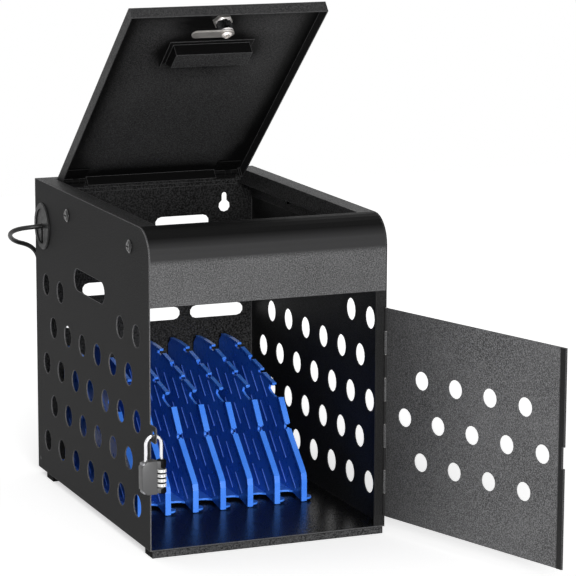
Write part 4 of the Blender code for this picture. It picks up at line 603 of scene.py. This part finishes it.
def make_padlock_trim():
    """Rounded case with cut corners, black end caps and collars at the dials, rivets and the digits."""
    low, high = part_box("padlock_body")
    dials = [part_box("padlock_dial_%d" % i) for i in range(1, DIALS + 1)]
    middle = (dials[0][0] + dials[0][1]) / 2
    bottom, top = dials[0][0].z, dials[-1][1].z
    between = dials[1][0].z - dials[0][1].z
    radius = (dials[0][1].x - dials[0][0].x) / 2

    def case(bm):
        left, cut = low.x, low.x + CASE_CUT
        edge = middle.x - radius - CASE_TO_DIALS
        outline = [(left, low.z + CASE_CUT), (cut, low.z), (edge, low.z),
                   (edge, high.z), (cut, high.z), (left, high.z - CASE_CUT)]
        front, back = [[bm.verts.new((x, y, z)) for x, z in outline] for y in (low.y, high.y)]
        for i in range(len(outline)):
            k = (i + 1) % len(outline)
            bm.faces.new((front[i], front[k], back[k], back[i]))
        bm.faces.new(front)
        bm.faces.new(reversed(back))
        bmesh.ops.bevel(bm, geom=bm.edges[:], offset=CASE_ROUND, segments=3, affect="EDGES", profile=0.5)
        for z0, z1 in ((low.z + BRIDGE_END, bottom - GAP), (top + GAP, high.z - BRIDGE_END)):
            bevelled_box(bm, (edge - BRIDGE_IN, low.y + BRIDGE_SETBACK, z0),
                         (middle.x + BRIDGE_OUT, high.y - BRIDGE_SETBACK, z1), BRIDGE_ROUND)

    def caps(bm):
        r = radius - CAP_INSET
        for z0, z1 in ((low.z - CAP_PAST, bottom - CAP_CLEARANCE), (top + CAP_CLEARANCE, high.z + CAP_PAST)):
            rise = [(AXIS_HOLE, 0), (r - CAP_ROUND, 0), (r - CAP_CHAMFER, CAP_CHAMFER), (r, CAP_ROUND)]
            profile = [(out, z0 + up) for out, up in rise] + [(out, z1 - up) for out, up in reversed(rise)]
            lathe(bm, profile, (middle.x, middle.y, 0), CAP_SEGMENTS)

    def collars(bm):
        inner, outer = COLLAR_INNER, radius - COLLAR_INSET
        start, end = COLLAR_CLEARANCE, between - COLLAR_CLEARANCE
        for dial in dials[:-1]:
            lathe(bm, [(inner, start), (outer, start), (outer, end), (inner, end)],
                  (middle.x, middle.y, dial[1].z), COLLAR_SEGMENTS)

    def rivets(bm):
        profile = [(r, -along) for r, along in RIVET_HALF] + list(reversed(RIVET_HALF))
        for aside, z in zip(RIVET_IN, (high.z - RIVET_UPPER, low.z + RIVET_LOWER)):
            lathe(bm, profile, (low.x + aside, (low.y + high.y) / 2, z), RIVET_SEGMENTS, "Y")

    body = finish_mesh("padlock_case", case, "padlock_body", GREY)
    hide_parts("padlock_body")
    finish_mesh("padlock_caps", caps, "padlock_body", CAP)
    finish_mesh("padlock_collars", collars, "padlock_body", CAP)
    finish_mesh("padlock_rivets", rivets, "padlock_body", RIVET)
    for number, (a, b) in enumerate(dials, 1):
        make_digits(number, (a + b) / 2, radius)


def make_digits(number, centre, radius):
    """The ten digits round one dial, as shallow dark ink."""
    mesh = bpy.data.meshes.new("padlock_digits_%d" % number)
    bm = bmesh.new()
    for digit in range(DIGITS):
        curve = bpy.data.curves.new("digit", "FONT")
        curve.body = str(digit)
        curve.size = DIGIT_SIZE
        curve.align_x, curve.align_y = "CENTER", "CENTER"
        curve.resolution_u = 2
        holder = bpy.data.objects.new("digit", curve)
        bpy.context.scene.collection.objects.link(holder)
        flat = bpy.data.meshes.new_from_object(holder.evaluated_get(bpy.context.evaluated_depsgraph_get()))
        turn = Matrix.Rotation(math.tau * (digit - number * DIGIT_STAGGER) / DIGITS, 4, "Z")
        lifted = radius * DIGIT_LIFT
        for vert in flat.vertices:
            across = vert.co.x / radius
            on_dial = Vector((lifted * math.sin(across), -lifted * math.cos(across), vert.co.y))
            vert.co = turn @ on_dial + centre
        bm.from_mesh(flat)
        bpy.data.objects.remove(holder)
        bpy.data.curves.remove(curve)
        bpy.data.meshes.remove(flat)
    bm.to_mesh(mesh)
    bm.free()
    new_object("padlock_digits_%d" % number, mesh, "dial_%d" % number, INK)


def make_stage():
    """A white floor and surround that look white and still take the shadow."""
    n = Paint("floor_white")
    away = n.add("ShaderNodeVectorMath", {0: n.coords}, operation="LENGTH").outputs["Value"]
    glow = n.spread(away, FLOOR_NEAR, FLOOR_FAR, GLOW_NEAR, GLOW_FAR)
    n.set(Base_Color=(0.85, 0.85, 0.85, 1.0), Roughness=0.9, Specular_IOR_Level=0.0,
          Emission_Color=(1.0, 1.0, 1.0, 1.0), Emission_Strength=n.math("MULTIPLY", n.seen_rays(), glow))
    mesh = bpy.data.meshes.new("floor")
    corners = [(x * FLOOR_SIZE, y * FLOOR_SIZE, 0) for x, y in ((-1, -1), (1, -1), (1, 1), (-1, 1))]
    mesh.from_pydata(corners, [], [(0, 1, 2, 3)])
    mesh.materials.append(n.material)
    floor = bpy.data.objects.new("floor", mesh)
    bpy.context.scene.collection.objects.link(floor)
    world = bpy.context.scene.world or bpy.data.worlds.new("world")
    bpy.context.scene.world = world
    world.use_nodes = True
    surround = Tree(world.node_tree)
    background = world.node_tree.nodes["Background"]
    background.inputs["Color"].default_value = (1, 1, 1, 1)
    strength = surround.spread(surround.seen_rays(), 0.0, 1.0, WORLD_FILL, 1.0)
    surround.feed(background.inputs["Strength"], strength)


def make_lights():
    """A broad low key from the front left, and a soft light from above and behind."""
    for name, place, size, level in LIGHTS:
        data = bpy.data.lights.new(name, "AREA")
        data.size = size
        aim = Vector(place) - Vector(AIM)
        data.energy = level * math.pi ** 2 * aim.length_squared
        light = bpy.data.objects.new(name, data)
        light.location = place
        light.rotation_euler = aim.to_track_quat("Z", "Y").to_euler()
        bpy.context.scene.collection.objects.link(light)


make_camera()
make_cord()
paint_nodes()
make_ribs()
make_padlock_trim()
make_stage()
make_lights()
bpy.context.scene.view_settings.view_transform = "Standard"
